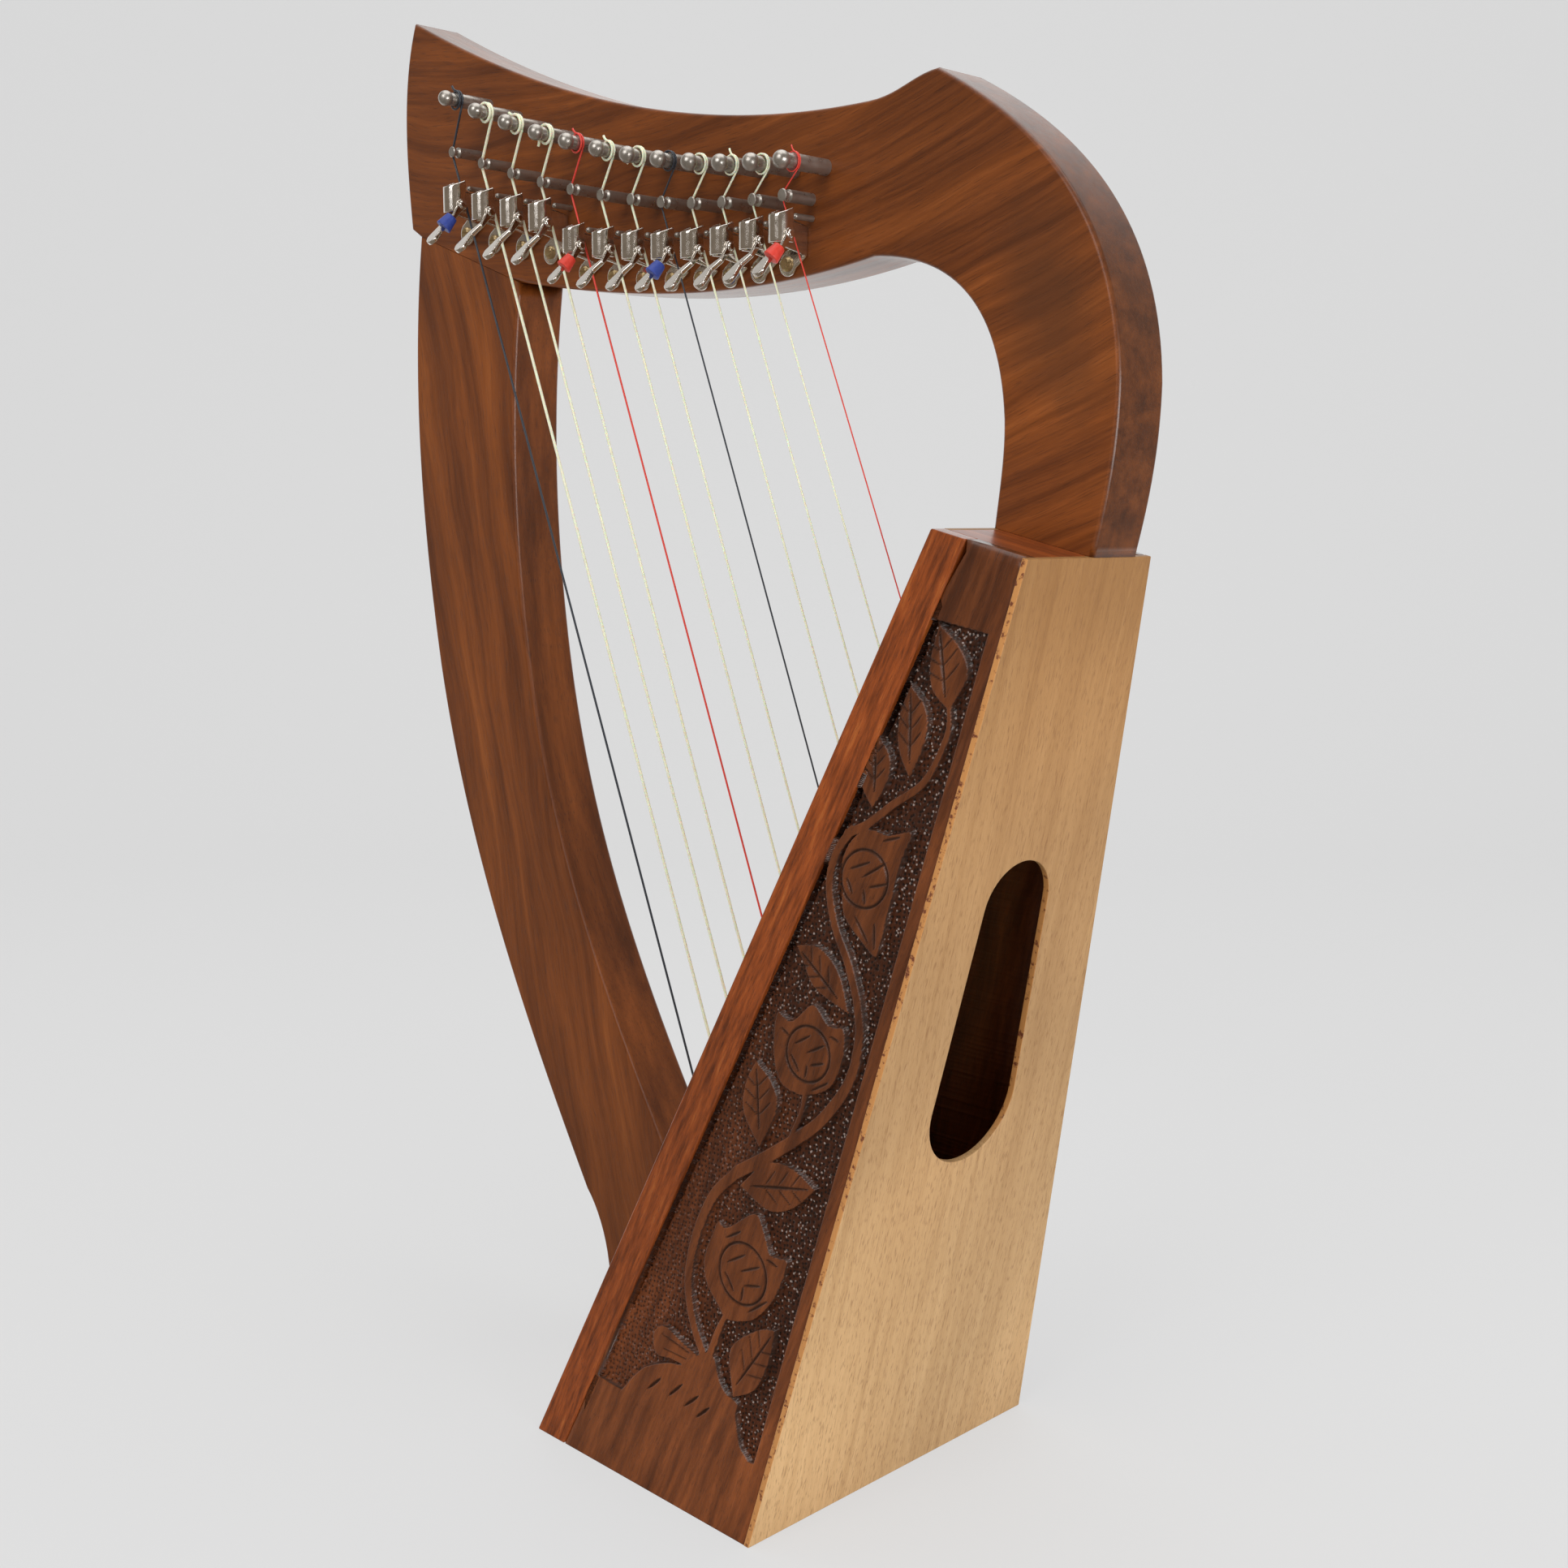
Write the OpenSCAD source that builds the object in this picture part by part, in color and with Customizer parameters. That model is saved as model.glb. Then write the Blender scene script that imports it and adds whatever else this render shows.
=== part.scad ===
// Small lever harp: a pear-shaped lap harp with twelve strings.
//
// Frame: +Z up, +X from the pillar towards the player, -Y the side that carries the
// strings and the sharping levers. The origin is the centre of the soundbox's base, on
// the floor. All sizes are in millimetres.

/* [Soundbox] */
// Depth of the base, front to back
base_depth = 120; // [112:1:126]
// Width of the base, across the harp
base_width = 150; // [140:1:160]
// Width across the top of the soundbox
top_width = 63; // [60:1:72]
// Height of the soundboard's top edge
board_top_z = 350.3; // [348:0.1:352]
// How far the soundboard's top edge stands behind the base's centre
board_top_x = 100.4; // [99:0.1:102]
// Height of the back plate's top edge
back_top_z = 341; // [339:0.1:343]
// How far the back plate's top edge stands behind the base's centre
back_top_x = 141; // [139:0.1:143]
// Thickness of the soundboard and of the back plate
plate_t = 2.5; // [2.4:0.1:3]
// Thickness of a side panel
side_t = 6; // [5:0.5:7]
// Width of the batten down the front edge of a side
batten_w = 15; // [12:0.5:17]
// How far a batten stands proud of its side panel
batten_proud = 0.4; // [0.3:0.1:1.2]
// Depth of the carved field in a side panel
carve_depth = 1.2; // [0.8:0.1:2]
// Width of the sound hole near its bottom
hole_w = 44.6; // [38:0.2:50]
// Width of the sound hole near its top
hole_top_w = 34; // [28:0.2:37]
// Length of the sound hole
hole_len = 114; // [90:1:120]
// Height of the sound hole's centre
hole_z = 184.5; // [170:0.5:200]

/* [Neck and pillar] */
// Thickness of the plank that the neck and the pillar are cut from
plank_t = 24.5; // [22:0.5:26]
// Diameter of the dowels between the neck and the pillar
dowel_d = 8; // [6:1:10]

/* [Strings] */
// Number of strings
strings = 12; // [12]
// Height of the lowest string's foot on the soundboard
foot_z = 74; // [72:1:76]
// Rise from one string's foot to the next
foot_pitch = 20.1; // [19.5:0.1:20.5]
// Diameter of the lowest string
bass_d = 1.25; // [1:0.05:1.4]
// Diameter of the highest string
treble_d = 0.65; // [0.5:0.05:0.8]

/* [Pins] */
// Diameter of a tuning pin
pin_d = 6; // [5:0.1:6.4]
// Diameter of the ball on a tuning pin's end
pin_ball_d = 7; // [6.4:0.1:8]
// How far a tuning pin's ball stands off the neck
pin_reach = 22; // [20:0.5:24]
// Radial clearance of a tuning pin in its bore
pin_fit = 0.05; // [0.02:0.01:0.08]
// Diameter of a bridge pin
bridge_d = 4.4; // [4:0.1:5]
// Diameter of the groove that holds the string on a bridge pin
groove_d = 2.7; // [2.4:0.1:3]
// How far a string's line stands off the neck at its bridge pin
groove_y = 13; // [12:0.5:14]

/* [Levers] */
// Size of the eight upper levers
lever_size = 1; // [0.95:0.01:1.02]
// Size of the four bass levers
bass_lever_size = 1.12; // [1:0.01:1.14]
// Distance from the neck to a lever's shaft
shaft_y = 17.3; // [17.2:0.1:17.6]
// Lean of a resting handle, from straight down
handle_lean = 38; // [34:1:42]
// Radial clearance of a lever's shaft in its bracket
shaft_fit = 0.05; // [0.02:0.01:0.08]

/* [Hidden] */
$fn = 48;
eps = 0.01;
far = 400;
coil_y = 16;
turns = 3;
joint = 0.05;
pillar_screw_z = [17, 34];
neck_screw_in = 26;
neck_screw_at = [0.3, 0.7];
lever_screw_in = 8;

// ---- soundbox lines, as [x, z] points ----
box_front = [-base_depth / 2, 0];
box_back = [base_depth / 2, 0];
box_front_top = [board_top_x, board_top_z];
box_back_top = [back_top_x, back_top_z];
front_dir = unit2(box_front_top - box_front);
back_dir = unit2(box_back_top - box_back);
top_dir = unit2(box_back_top - box_front_top);
front_in = [front_dir[1], -front_dir[0]];
back_in = [-back_dir[1], back_dir[0]];
top_in = [top_dir[1], -top_dir[0]];
front_lean = atan2(front_dir[0], front_dir[1]);
back_lean = atan2(back_dir[0], back_dir[1]);
top_fall = atan2(-top_dir[1], top_dir[0]);
side_taper = (base_width - top_width) / 2 / board_top_z;
side_lean = atan(side_taper);
panel_in = batten_proud + side_t;
base_t = 8;
top_t = 9;
rib_w = 12;
rib_t = 2.5;
inner_rib_t = 4;
lining = 7;
brace_h = 9;

// ---- string layout: the pitch closes up smoothly from bass to treble ----
function bridge_x(i) = -184 + 21.12 * i - 0.272 * i * i;
function bridge_z(i) = 506.6 - 7.593 * i + 0.3506 * i * i;
function pin_x(i) = bridge_x(i) + 7.1;
function pin_z(i) = bridge_z(i) + 19.6 - 0.86 * i;
function string_r(i) = (bass_d + (treble_d - bass_d) * i / (strings - 1)) / 2;
function foot(i) = let(z = foot_z + foot_pitch * i) [-base_depth / 2 + z * front_dir[0] / front_dir[1], 0, z];
front_out = [-front_in[0], 0, -front_in[1]];
grommet_h = 0.9;
function foot_top(i) = foot(i) + front_out * (rib_t + grommet_h + string_r(i) + 0.2);

// Each string bends round the left of its bridge pin's groove. These are the directions,
// in x and z, of the string below the pin and of the string above it.
function turn_r(i) = groove_d / 2 + string_r(i) + 0.08;
function wind_r(i) = pin_d / 2 + pin_fit + string_r(i);
function below(i) = unit2([bridge_x(i) - foot(i)[0], bridge_z(i) - foot(i)[2]]);
function above(i) = let(v = [pin_x(i) - bridge_x(i), pin_z(i) - bridge_z(i)],
    a = -asin((turn_r(i) + wind_r(i)) / norm(v))) unit2([v[0] * cos(a) - v[1] * sin(a), v[0] * sin(a) + v[1] * cos(a)]);
function left_of(d) = [-d[1], 0, d[0]];
function bend(i) = let(m = unit2(above(i) + below(i)))
    [bridge_x(i), -groove_y, bridge_z(i)] + left_of(m) * turn_r(i) / (m * below(i));
function winding(i) = [pin_x(i), -coil_y, pin_z(i)] - left_of(above(i)) * wind_r(i);
function string_at(i, z) = let(a = bend(i), b = foot_top(i)) a + (b - a) * (a[2] - z) / (a[2] - b[2]);

// ---- levers: two rows, four bass levers set higher ----
bass_levers = 4;
lever_offset = 1.5;
function lever_s(i) = i < bass_levers ? bass_lever_size : lever_size;
function lever_drop(i) = i < bass_levers ? 23.1 - 2 * i : 22.9 - 1.25 * (i - bass_levers);
function lever_at(i) = let(z = bridge_z(i) - lever_drop(i)) [string_at(i, z)[0] - lever_offset, -shaft_y, z];
shaft_r = 1;
hood_r = 4.1;
hood_wall = 1.1;
hood_low = -2.6;
sheet = 1.4;
plate_r = 4.4;
screw_at = [-12.5, -7.2];
flip = 80;

// ---- small helpers ----
function unit2(v) = v / norm(v);
function bez(p, n) = [for (i = [0:n]) let(t = i / n, u = 1 - t)
    u * u * u * p[0] + 3 * u * u * t * p[1] + 3 * u * t * t * p[2] + t * t * t * p[3]];
function cut(v) = [for (i = [1:len(v) - 1]) v[i]];

// A shape drawn in x and z, standing between two values of y
module stand(y0, y1) {
    translate([0, y1, 0]) rotate([90, 0, 0]) linear_extrude(y1 - y0) children();
}

// A shape drawn in y and z, running between two values of x
module run(x0, x1) {
    translate([x0, 0, 0]) rotate([90, 0, 90]) linear_extrude(x1 - x0) children();
}

// A round bar from point a to point b
module bar(a, b, r) {
    d = b - a;
    translate(a) rotate([0, acos(d[2] / norm(d)), atan2(d[1], d[0])]) cylinder(r = r, h = norm(d));
}

// A round bar along +Y
module bar_y(x, z, y0, y1, r) {
    translate([x, y1, z]) rotate([90, 0, 0]) cylinder(r = r, h = y1 - y0);
}

// Places children at distance z up the front, with their +Z out of the soundboard
module on_front(z, y = 0) {
    translate([-base_depth / 2 + z * front_dir[0] / front_dir[1], y, z])
        rotate([0, -90 + front_lean, 0]) children();
}

// ---- soundbox ----
function front_low(t) = box_front + [t / front_in[0], 0];
function front_high(t) = box_front_top + top_dir * t / (top_dir * front_in);
function back_low(t) = box_back + [t / back_in[0], 0];
function back_high(t) = box_back_top + top_dir * t / (top_dir * back_in);

// The slice between two insets: from the front line, from the back line or across both
module front_slice(t0, t1) {
    polygon([front_low(t0), front_low(t1), front_high(t1), front_high(t0)]);
}
module back_slice(t0, t1) {
    polygon([back_low(t0), back_low(t1), back_high(t1), back_high(t0)]);
}
module core_slice(t_front, t_back) {
    polygon([front_low(t_front), back_low(t_back), back_high(t_back), front_high(t_front)]);
}

// A layer of the tapered sides, between two depths in from the outer face
function half_w(z, t) = base_width / 2 - side_taper * z - t / cos(side_lean);
module side_layer(t0, t1, side) {
    run(-far, far) scale([side, 1]) polygon([[half_w(0, t0), 0], [half_w(0, t1), 0],
        [half_w(far, t1), far], [half_w(far, t0), far]]);
}
module full_width(t) {
    run(-far, far) polygon([[-half_w(0, t), 0], [half_w(0, t), 0], [half_w(far, t), far], [-half_w(far, t), far]]);
}

module string_holes(r) {
    for (i = [0:strings - 1]) on_front(foot(i)[2]) translate([0, 0, -20]) cylinder(r = r, h = 40);
}

module pillar_screw_bores(r) {
    for (z = pillar_screw_z) on_front(z, plank_t / 2) translate([0, 0, -plate_t]) cylinder(r = r, h = 24 + plate_t);
}

module soundboard() {
    color("wheat") difference() {
        intersection() {
            stand(-far, far) front_slice(0, plate_t);
            full_width(panel_in);
        }
        string_holes(1);
        pillar_screw_bores(2);
    }
}

// The hole is a long slot with round ends, wider at the bottom and square to the plate
module sound_hole() {
    low = hole_w / 2;
    high = hole_top_w / 2;
    span = hole_len - low - high;
    a = asin((low - high) / span);
    translate([base_depth / 2 + hole_z * back_dir[0] / back_dir[1], 0, hole_z]) rotate([0, 90 + back_lean, 0])
        linear_extrude(20, center = true) translate([hole_len / 2, 0]) {
            translate([-low, 0]) circle(r = low);
            translate([-low - span, 0]) circle(r = high);
            polygon([for (q = [[low, 1], [high, 1], [high, -1], [low, -1]])
                [(q[0] == low ? -low : -low - span) - q[0] * sin(a), q[1] * q[0] * cos(a)]]);
        }
}

module back_plate() {
    color("burlywood") difference() {
        intersection() {
            stand(-far, far) back_slice(0, plate_t);
            full_width(0);
        }
        sound_hole();
    }
}

module batten(side) {
    color("peru") intersection() {
        stand(-far, far) front_slice(0, batten_w);
        side_layer(0, panel_in, side);
    }
}
module front_batten_left() { batten(-1); }
module front_batten_right() { batten(1); }

// ---- carved vine, drawn in the panel's own plane: u along x, v up the slope ----
// A leaf with two arcs for edges, from base to tip
module leaf(base, tip, w) {
    d = tip - base;
    l = norm(d);
    r = (l * l / 4 + w * w / 4) / w;
    translate((base + tip) / 2) rotate(atan2(d[1], d[0])) intersection() {
        translate([0, r - w / 2]) circle(r = r, $fn = 96);
        translate([0, w / 2 - r]) circle(r = r, $fn = 96);
    }
}

// A vine stem: a chain of short round-ended bars along a curve
module stem(p, w) {
    q = bez(p, 7);
    for (i = [0:len(q) - 2]) {
        d = q[i + 1] - q[i];
        translate(q[i]) rotate(atan2(d[1], d[0])) translate([0, -w / 2]) square([norm(d), w]);
        translate(q[i]) circle(d = w, $fn = 16);
    }
}

roses = [[79, 222], [61, 150], [46, 66]];
rose_r = 8.4;

module vine() {
    for (c = roses) translate(c) circle(r = rose_r);
    stem([[88, 238], [104, 262], [100, 272], [106, 284]], 2);
    stem([[72, 214], [84, 168], [70, 132], [50, 116]], 2);
    stem([[50, 116], [20, 98], [22, 70], [31, 42]], 2);
    leaf([107, 286], [108, 314], 11);
    leaf([96, 262], [97, 287], 8);
    leaf([84, 246], [86, 268], 8);
    leaf([71, 176], [52, 202], 9);
    leaf([37, 126], [34, 153], 10);
    leaf([33, 108], [62, 104], 13);
    leaf([44, 28], [57, 50], 8);
    leaf([22, 40], [10, 52], 8);
}

module side_panel(side) {
    color("saddlebrown") difference() {
        intersection() {
            stand(-far, far) core_slice(batten_w, plate_t);
            side_layer(batten_proud, panel_in, side);
        }
        scale([1, -side, 1]) translate([0, -half_w(0, batten_proud), 0]) rotate([90 - side_lean, 0, 0])
            translate([0, 0, -carve_depth]) linear_extrude(carve_depth + 1) difference() {
                polygon([[-26, 33], [60, 31], [124.5, 320], [103, 324]]);
                vine();
            }
    }
}
module side_panel_left() { side_panel(-1); }
module side_panel_right() { side_panel(1); }

module top_board() {
    color("sienna") difference() {
        intersection() {
            stand(-far, far) intersection() {
                core_slice(plate_t, plate_t);
                polygon([box_front_top, box_back_top, box_back_top + top_in * top_t, box_front_top + top_in * top_t]);
            }
            full_width(panel_in);
        }
        neck_screw_bores(2.1);
    }
}

module base_board() {
    color("sienna") intersection() {
        stand(-far, far) intersection() {
            core_slice(plate_t, plate_t);
            translate([-far / 2, 0]) square([far, base_t]);
        }
        full_width(panel_in);
    }
}

// Strips of hardwood down the middle of the soundboard, outside and inside
module strip(t0, t1, w, z0, z1) {
    intersection() {
        stand(-w / 2, w / 2) front_slice(t0, t1);
        translate([-far / 2, -far / 2, z0]) cube([far, far, z1 - z0]);
    }
}
module string_rib() {
    color("tan") difference() {
        strip(-rib_t, 0, rib_w, 58, 330);
        string_holes(1);
    }
}
module inner_string_rib() {
    color("tan") difference() {
        strip(plate_t, plate_t + inner_rib_t, rib_w + 4, 44, 328);
        string_holes(1);
    }
}

module corner_linings() {
    color("burlywood") for (side = [-1, 1]) {
        intersection() {
            stand(-far, far) front_slice(plate_t, plate_t + lining);
            side_layer(panel_in, panel_in + lining, side);
            translate([-far / 2, -far / 2, base_t]) cube([far, far, 318]);
        }
        intersection() {
            stand(-far, far) back_slice(plate_t, plate_t + lining);
            side_layer(panel_in, panel_in + lining, side);
            translate([-far / 2, -far / 2, base_t]) cube([far, far, 318]);
        }
    }
}

module back_braces() {
    color("burlywood") for (z = [96, 262]) intersection() {
        stand(-far, far) back_slice(plate_t, plate_t + brace_h);
        full_width(panel_in + lining);
        translate([-far / 2, -far / 2, z]) cube([far, far, 12]);
    }
}

// ---- neck and pillar ----
head_top = [-231.5, 569.5];
head_low = [-238.1, 482.2];
crest = [73.7, 501.3];
seam_out = [-231.4, 478.4];
seam_in = [-158.7, 452.1];

function neck_outline() = concat(
    bez([head_top, [-146.5, 527.6], [-53.3, 495.7], [42, 495.5]], 20),
    cut(bez([[42, 495.5], [56, 495.4], [62, 501], crest], 6)),
    cut(bez([crest, [114.5, 479], [148, 449], [149.7, 396]], 14)),
    cut(bez([[149.7, 396], [149.5, 376.7], [146.5, 360.4], box_back_top], 8)),
    [box_front_top],
    cut(bez([box_front_top, [102, 361.8], [104.2, 373.9], [103.7, 385.5]], 6)),
    cut(bez([[103.7, 385.5], [101.2, 422.6], [81.1, 440.4], [45, 443.2]], 10)),
    cut(bez([[45, 443.2], [-23.3, 432.5], [-90, 439.7], seam_in], 16)),
    [seam_out, head_low],
    cut(bez([head_low, [-241.5, 510], [-244.5, 543.4], head_top], 8)));

function pillar_outline() = concat(
    [seam_out],
    cut(bez([seam_out, [-241, 425], [-240.5, 365], [-224.8, 286]], 12)),
    cut(bez([[-224.8, 286], [-207, 202], [-166, 130], [-122.7, 61.6]], 12)),
    cut(bez([[-122.7, 61.6], [-116, 55], [-110.5, 44], [-108.7, 32.1]], 4)),
    cut(bez([[-108.7, 32.1], [-106, 12], [-98, 3], [-86, 0]], 6)),
    [box_front, front_at(44)],
    cut(bez([front_at(44), [-50, 62], [-66, 88], [-85.2, 117.9]], 5)),
    cut(bez([[-85.2, 117.9], [-124, 180], [-150, 236], [-160.1, 309.9]], 12)),
    cut(bez([[-160.1, 309.9], [-167, 358], [-167, 404], seam_in], 10)));
function front_at(z) = [-base_depth / 2 + z * front_dir[0] / front_dir[1], z];

seam_dir = unit2(seam_in - seam_out);
seam_up = [-seam_dir[1], seam_dir[0]];
module dowels(r, grow = 0) {
    for (k = [0.3, 0.7]) {
        c = seam_out + (seam_in - seam_out) * k;
        a = c - seam_up * (18 + grow);
        b = c + seam_up * (18 + grow);
        bar([a[0], plank_t / 2, a[1]], [b[0], plank_t / 2, b[1]], r);
    }
}

// Screws up through the top board into the neck
module neck_screw_bores(r) {
    for (k = neck_screw_at) {
        c = box_front_top + (box_back_top - box_front_top) * k;
        a = c + top_in * (top_t + 1);
        b = c - top_in * neck_screw_in;
        bar([a[0], plank_t / 2, a[1]], [b[0], plank_t / 2, b[1]], r);
    }
}

module neck() {
    color("saddlebrown") difference() {
        stand(0, plank_t) polygon(neck_outline());
        for (i = [0:strings - 1]) {
            bar_y(pin_x(i), pin_z(i), -1, plank_t + 1, pin_d / 2 + pin_fit);
            bar_y(bridge_x(i), bridge_z(i), -1, 12, bridge_d / 2);
            p = lever_at(i);
            bar_y(p[0] + screw_at[0] * lever_s(i), p[2] + screw_at[1] * lever_s(i), -1, lever_screw_in, 1.5);
            f = fret_at(i);
            bar_y(f[0], f[2], -1, 8, 1.1);
        }
        dowels(dowel_d / 2);
        neck_screw_bores(2.1);
    }
}

module pillar() {
    color("sienna") difference() {
        stand(0, plank_t) polygon(pillar_outline());
        dowels(dowel_d / 2);
        pillar_screw_bores(2);
    }
}

module pillar_dowels() { color("burlywood") dowels(dowel_d / 2); }

module neck_screws() {
    color("silver") for (k = neck_screw_at) {
        c = box_front_top + (box_back_top - box_front_top) * k;
        a = c + top_in * (top_t + joint);
        b = c - top_in * neck_screw_in;
        h = a + top_in * 3;
        bar([a[0], plank_t / 2, a[1]], [b[0], plank_t / 2, b[1]], 2);
        bar([h[0], plank_t / 2, h[1]], [a[0], plank_t / 2, a[1]], 4.2);
    }
}

module pillar_screws() {
    color("silver") for (z = pillar_screw_z) on_front(z, plank_t / 2) {
        translate([0, 0, -plate_t]) cylinder(r = 2, h = 24 + plate_t);
        translate([0, 0, -plate_t - 3]) cylinder(r = 4, h = 3);
    }
}

// ---- string fittings ----
module string_grommets() {
    color("gold") for (i = [0:strings - 1]) on_front(foot(i)[2]) translate([0, 0, rib_t]) difference() {
        cylinder(r = 2.6, h = grommet_h);
        translate([0, 0, -1]) cylinder(r = 1, h = 3);
    }
}

module string_toggles() {
    color("tan") for (i = [0:strings - 1]) on_front(foot(i)[2])
        translate([0, 0, -plate_t - inner_rib_t - 1.6]) rotate([90, 0, 0]) cylinder(r = 1.6, h = 9, center = true);
}

module bridge_pins() {
    color("silver") for (i = [0:strings - 1]) translate([bridge_x(i), 0, bridge_z(i)]) rotate([90, 0, 0])
        rotate_extrude() polygon([[0, -12], [bridge_d / 2, -12], [bridge_d / 2, groove_y - 1.3],
            [groove_d / 2, groove_y - 0.75], [groove_d / 2, groove_y + 0.75], [bridge_d / 2, groove_y + 1.3],
            [bridge_d / 2, groove_y + 1.7], [bridge_d / 2 - 0.3, groove_y + 2], [0, groove_y + 2]]);
}

// A post behind each string, which the string rests on when its lever is up
function fret_at(i) = let(z = lever_at(i)[2] + 7.5 * lever_s(i)) [string_at(i, z)[0], 0, z];
module fret_pins() {
    color("silver") for (i = [0:strings - 1]) translate(fret_at(i)) rotate([90, 0, 0])
        rotate_extrude() polygon(concat([[0, -8], [1.1, -8], [1.1, 8.4]],
            [for (a = [15:15:90]) [1.1 * cos(a), 8.4 + 1.1 * sin(a)]]));
}

// ---- sharping levers ----
// A bracket, drawn about its lever's shaft: plate on the neck, gusset and hood
module bracket(s) {
    c = hood_r * s;
    w = hood_wall * s;
    difference() {
        union() {
            stand(shaft_y - sheet, shaft_y) {
                translate(screw_at * s) circle(r = plate_r * s);
                polygon([screw_at * s - [0, plate_r * s], [w - c, -5.4 * s], [w - c, 5.2 * s], (screw_at + plate_r * [-0.4, 0.9]) * s]);
            }
            run(-c, w - c) polygon([[shaft_y, -5.4 * s], [shaft_y, 5.2 * s], [2, 8.2 * s], [-eps, 8.2 * s],
                [-eps, hood_low * s], [3, hood_low * s]]);
            intersection() {
                translate([0, 0, hood_low * s]) linear_extrude(14 * s) difference() {
                    union() {
                        circle(r = c);
                        translate([-c, 0]) square([2 * c, 3]);
                    }
                    circle(r = c - w);
                    translate([w - c, 0]) square([2 * c - 2 * w, c + 1]);
                }
                run(-c - 1, c + 1) polygon([[-c - 1, -5 * s], [4, -5 * s], [4, 9.8 * s], [-c - 1, 6.4 * s]]);
            }
        }
        translate([-c - 1, 0, 0]) rotate([0, 90, 0]) cylinder(r = shaft_r + shaft_fit, h = 2 * c + 2);
        translate([screw_at[0] * s, shaft_y + 1, screw_at[1] * s]) rotate([90, 0, 0]) cylinder(r = 1.5, h = 5);
    }
}
module lever_brackets() {
    color("gainsboro") for (i = [0:strings - 1]) translate(lever_at(i)) bracket(lever_s(i));
}

module lever_screws() {
    color("goldenrod") for (i = [0:strings - 1]) {
        p = lever_at(i);
        translate([p[0] + screw_at[0] * lever_s(i), -sheet, p[2] + screw_at[1] * lever_s(i)]) rotate([90, 0, 0]) difference() {
            rotate_extrude() polygon([[0, -lever_screw_in - sheet], [1.5, -lever_screw_in - sheet], [1.5, 0], [2.7, 0], [2.7, 0.6], [1.9, 1.5], [0, 1.5]]);
            translate([-3, -0.3, 1]) cube([6, 0.6, 1]);
        }
    }
}

// Radii along the handle, from the shaft: end of the crank, start and centre of the paddle
crank_end = 6.1;
waist_at = 10.5;
waist_x = 1.3;
paddle_at = 16;
paddle_r = 2.8;
cam_r = 1.9;
cam_half = 1.7;

// A lever, drawn about its shaft: shaft and cam inside the hood, crank and paddle outside
module lever(i) {
    s = lever_s(i);
    c = hood_r * s;
    lobe = shaft_y + string_at(i, lever_at(i)[2])[1] - string_r(i) - 0.15;
    color("gainsboro") translate(lever_at(i)) {
        translate([-c - 0.4, 0, 0]) rotate([0, 90, 0]) cylinder(r = shaft_r, h = 2 * c + 1);
        translate([-cam_half * s, 0, 0]) rotate([0, 90, 0]) cylinder(r = cam_r * s, h = 2 * cam_half * s);
        rotate([flip, 0, 0]) translate([-cam_half * s, 0, -1]) cube([2 * cam_half * s, lobe, 2]);
        translate([c + 0.1, 0, 0]) rotate([0, 90, 0]) {
            cylinder(r = 2.1 * s, h = 1.3);
            cylinder(r = 1.3 * s, h = 2);
        }
        rotate([-handle_lean, 0, 0]) {
            hull() {
                translate([c + 0.1, 0, 0]) rotate([0, 90, 0]) cylinder(r = 1.5 * s, h = 1.3, $fn = 24);
                translate([c + 0.1, 0, -crank_end * s]) rotate([0, 90, 0]) cylinder(r = 0.9 * s, h = 1.3, $fn = 24);
            }
            hull() {
                translate([c + 0.1, 0, -crank_end * s]) rotate([0, 90, 0]) cylinder(r = 0.9 * s, h = 1.3, $fn = 24);
                translate([waist_x * s, 0, -waist_at * s]) rotate([90, 0, 0]) cylinder(r = 1.4 * s, h = 1.6 * s, center = true, $fn = 24);
            }
            hull() {
                translate([waist_x * s, 0, -waist_at * s]) rotate([90, 0, 0]) cylinder(r = 1.4 * s, h = 1.6 * s, center = true, $fn = 24);
                translate([0, 0, -paddle_at * s]) rotate([90, 0, 0]) cylinder(r = paddle_r * s, h = 1.6 * s, center = true, $fn = 32);
            }
        }
    }
}

// A coloured sleeve pushed over a handle: red on the C strings, blue on the F strings
module sleeve(i, shade) {
    s = lever_s(i);
    color(shade) difference() {
        translate(lever_at(i)) rotate([-handle_lean, 0, 0])
            translate([2.2, 0, -10.9 * s]) rotate([0, 16, 0]) cylinder(r1 = 3.1 * s, r2 = 2.2 * s, h = 5.4 * s);
        lever(i);
    }
}

module lever_sleeve_01() { sleeve(0, "royalblue"); }
module lever_sleeve_05() { sleeve(4, "tomato"); }
module lever_sleeve_08() { sleeve(7, "royalblue"); }
module lever_sleeve_12() { sleeve(11, "tomato"); }

// ---- tuning pins ----
tail = 12;
square_len = 9;
// A plain round pin through the neck, a ball on the string end, a square drive on the other
module tuning_pin(i) {
    color("dimgray") translate([pin_x(i), 0, pin_z(i)]) difference() {
        union() {
            bar_y(0, 0, -pin_reach, plank_t + tail, pin_d / 2);
            translate([0, -pin_reach, 0]) sphere(d = pin_ball_d);
        }
        translate([0, plank_t + tail - square_len / 2 + 1, 0]) difference() {
            cube([2 * pin_d, square_len + 2, 2 * pin_d], center = true);
            cube([pin_d * 0.74, square_len + 3, pin_d * 0.74], center = true);
        }
    }
}

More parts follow.
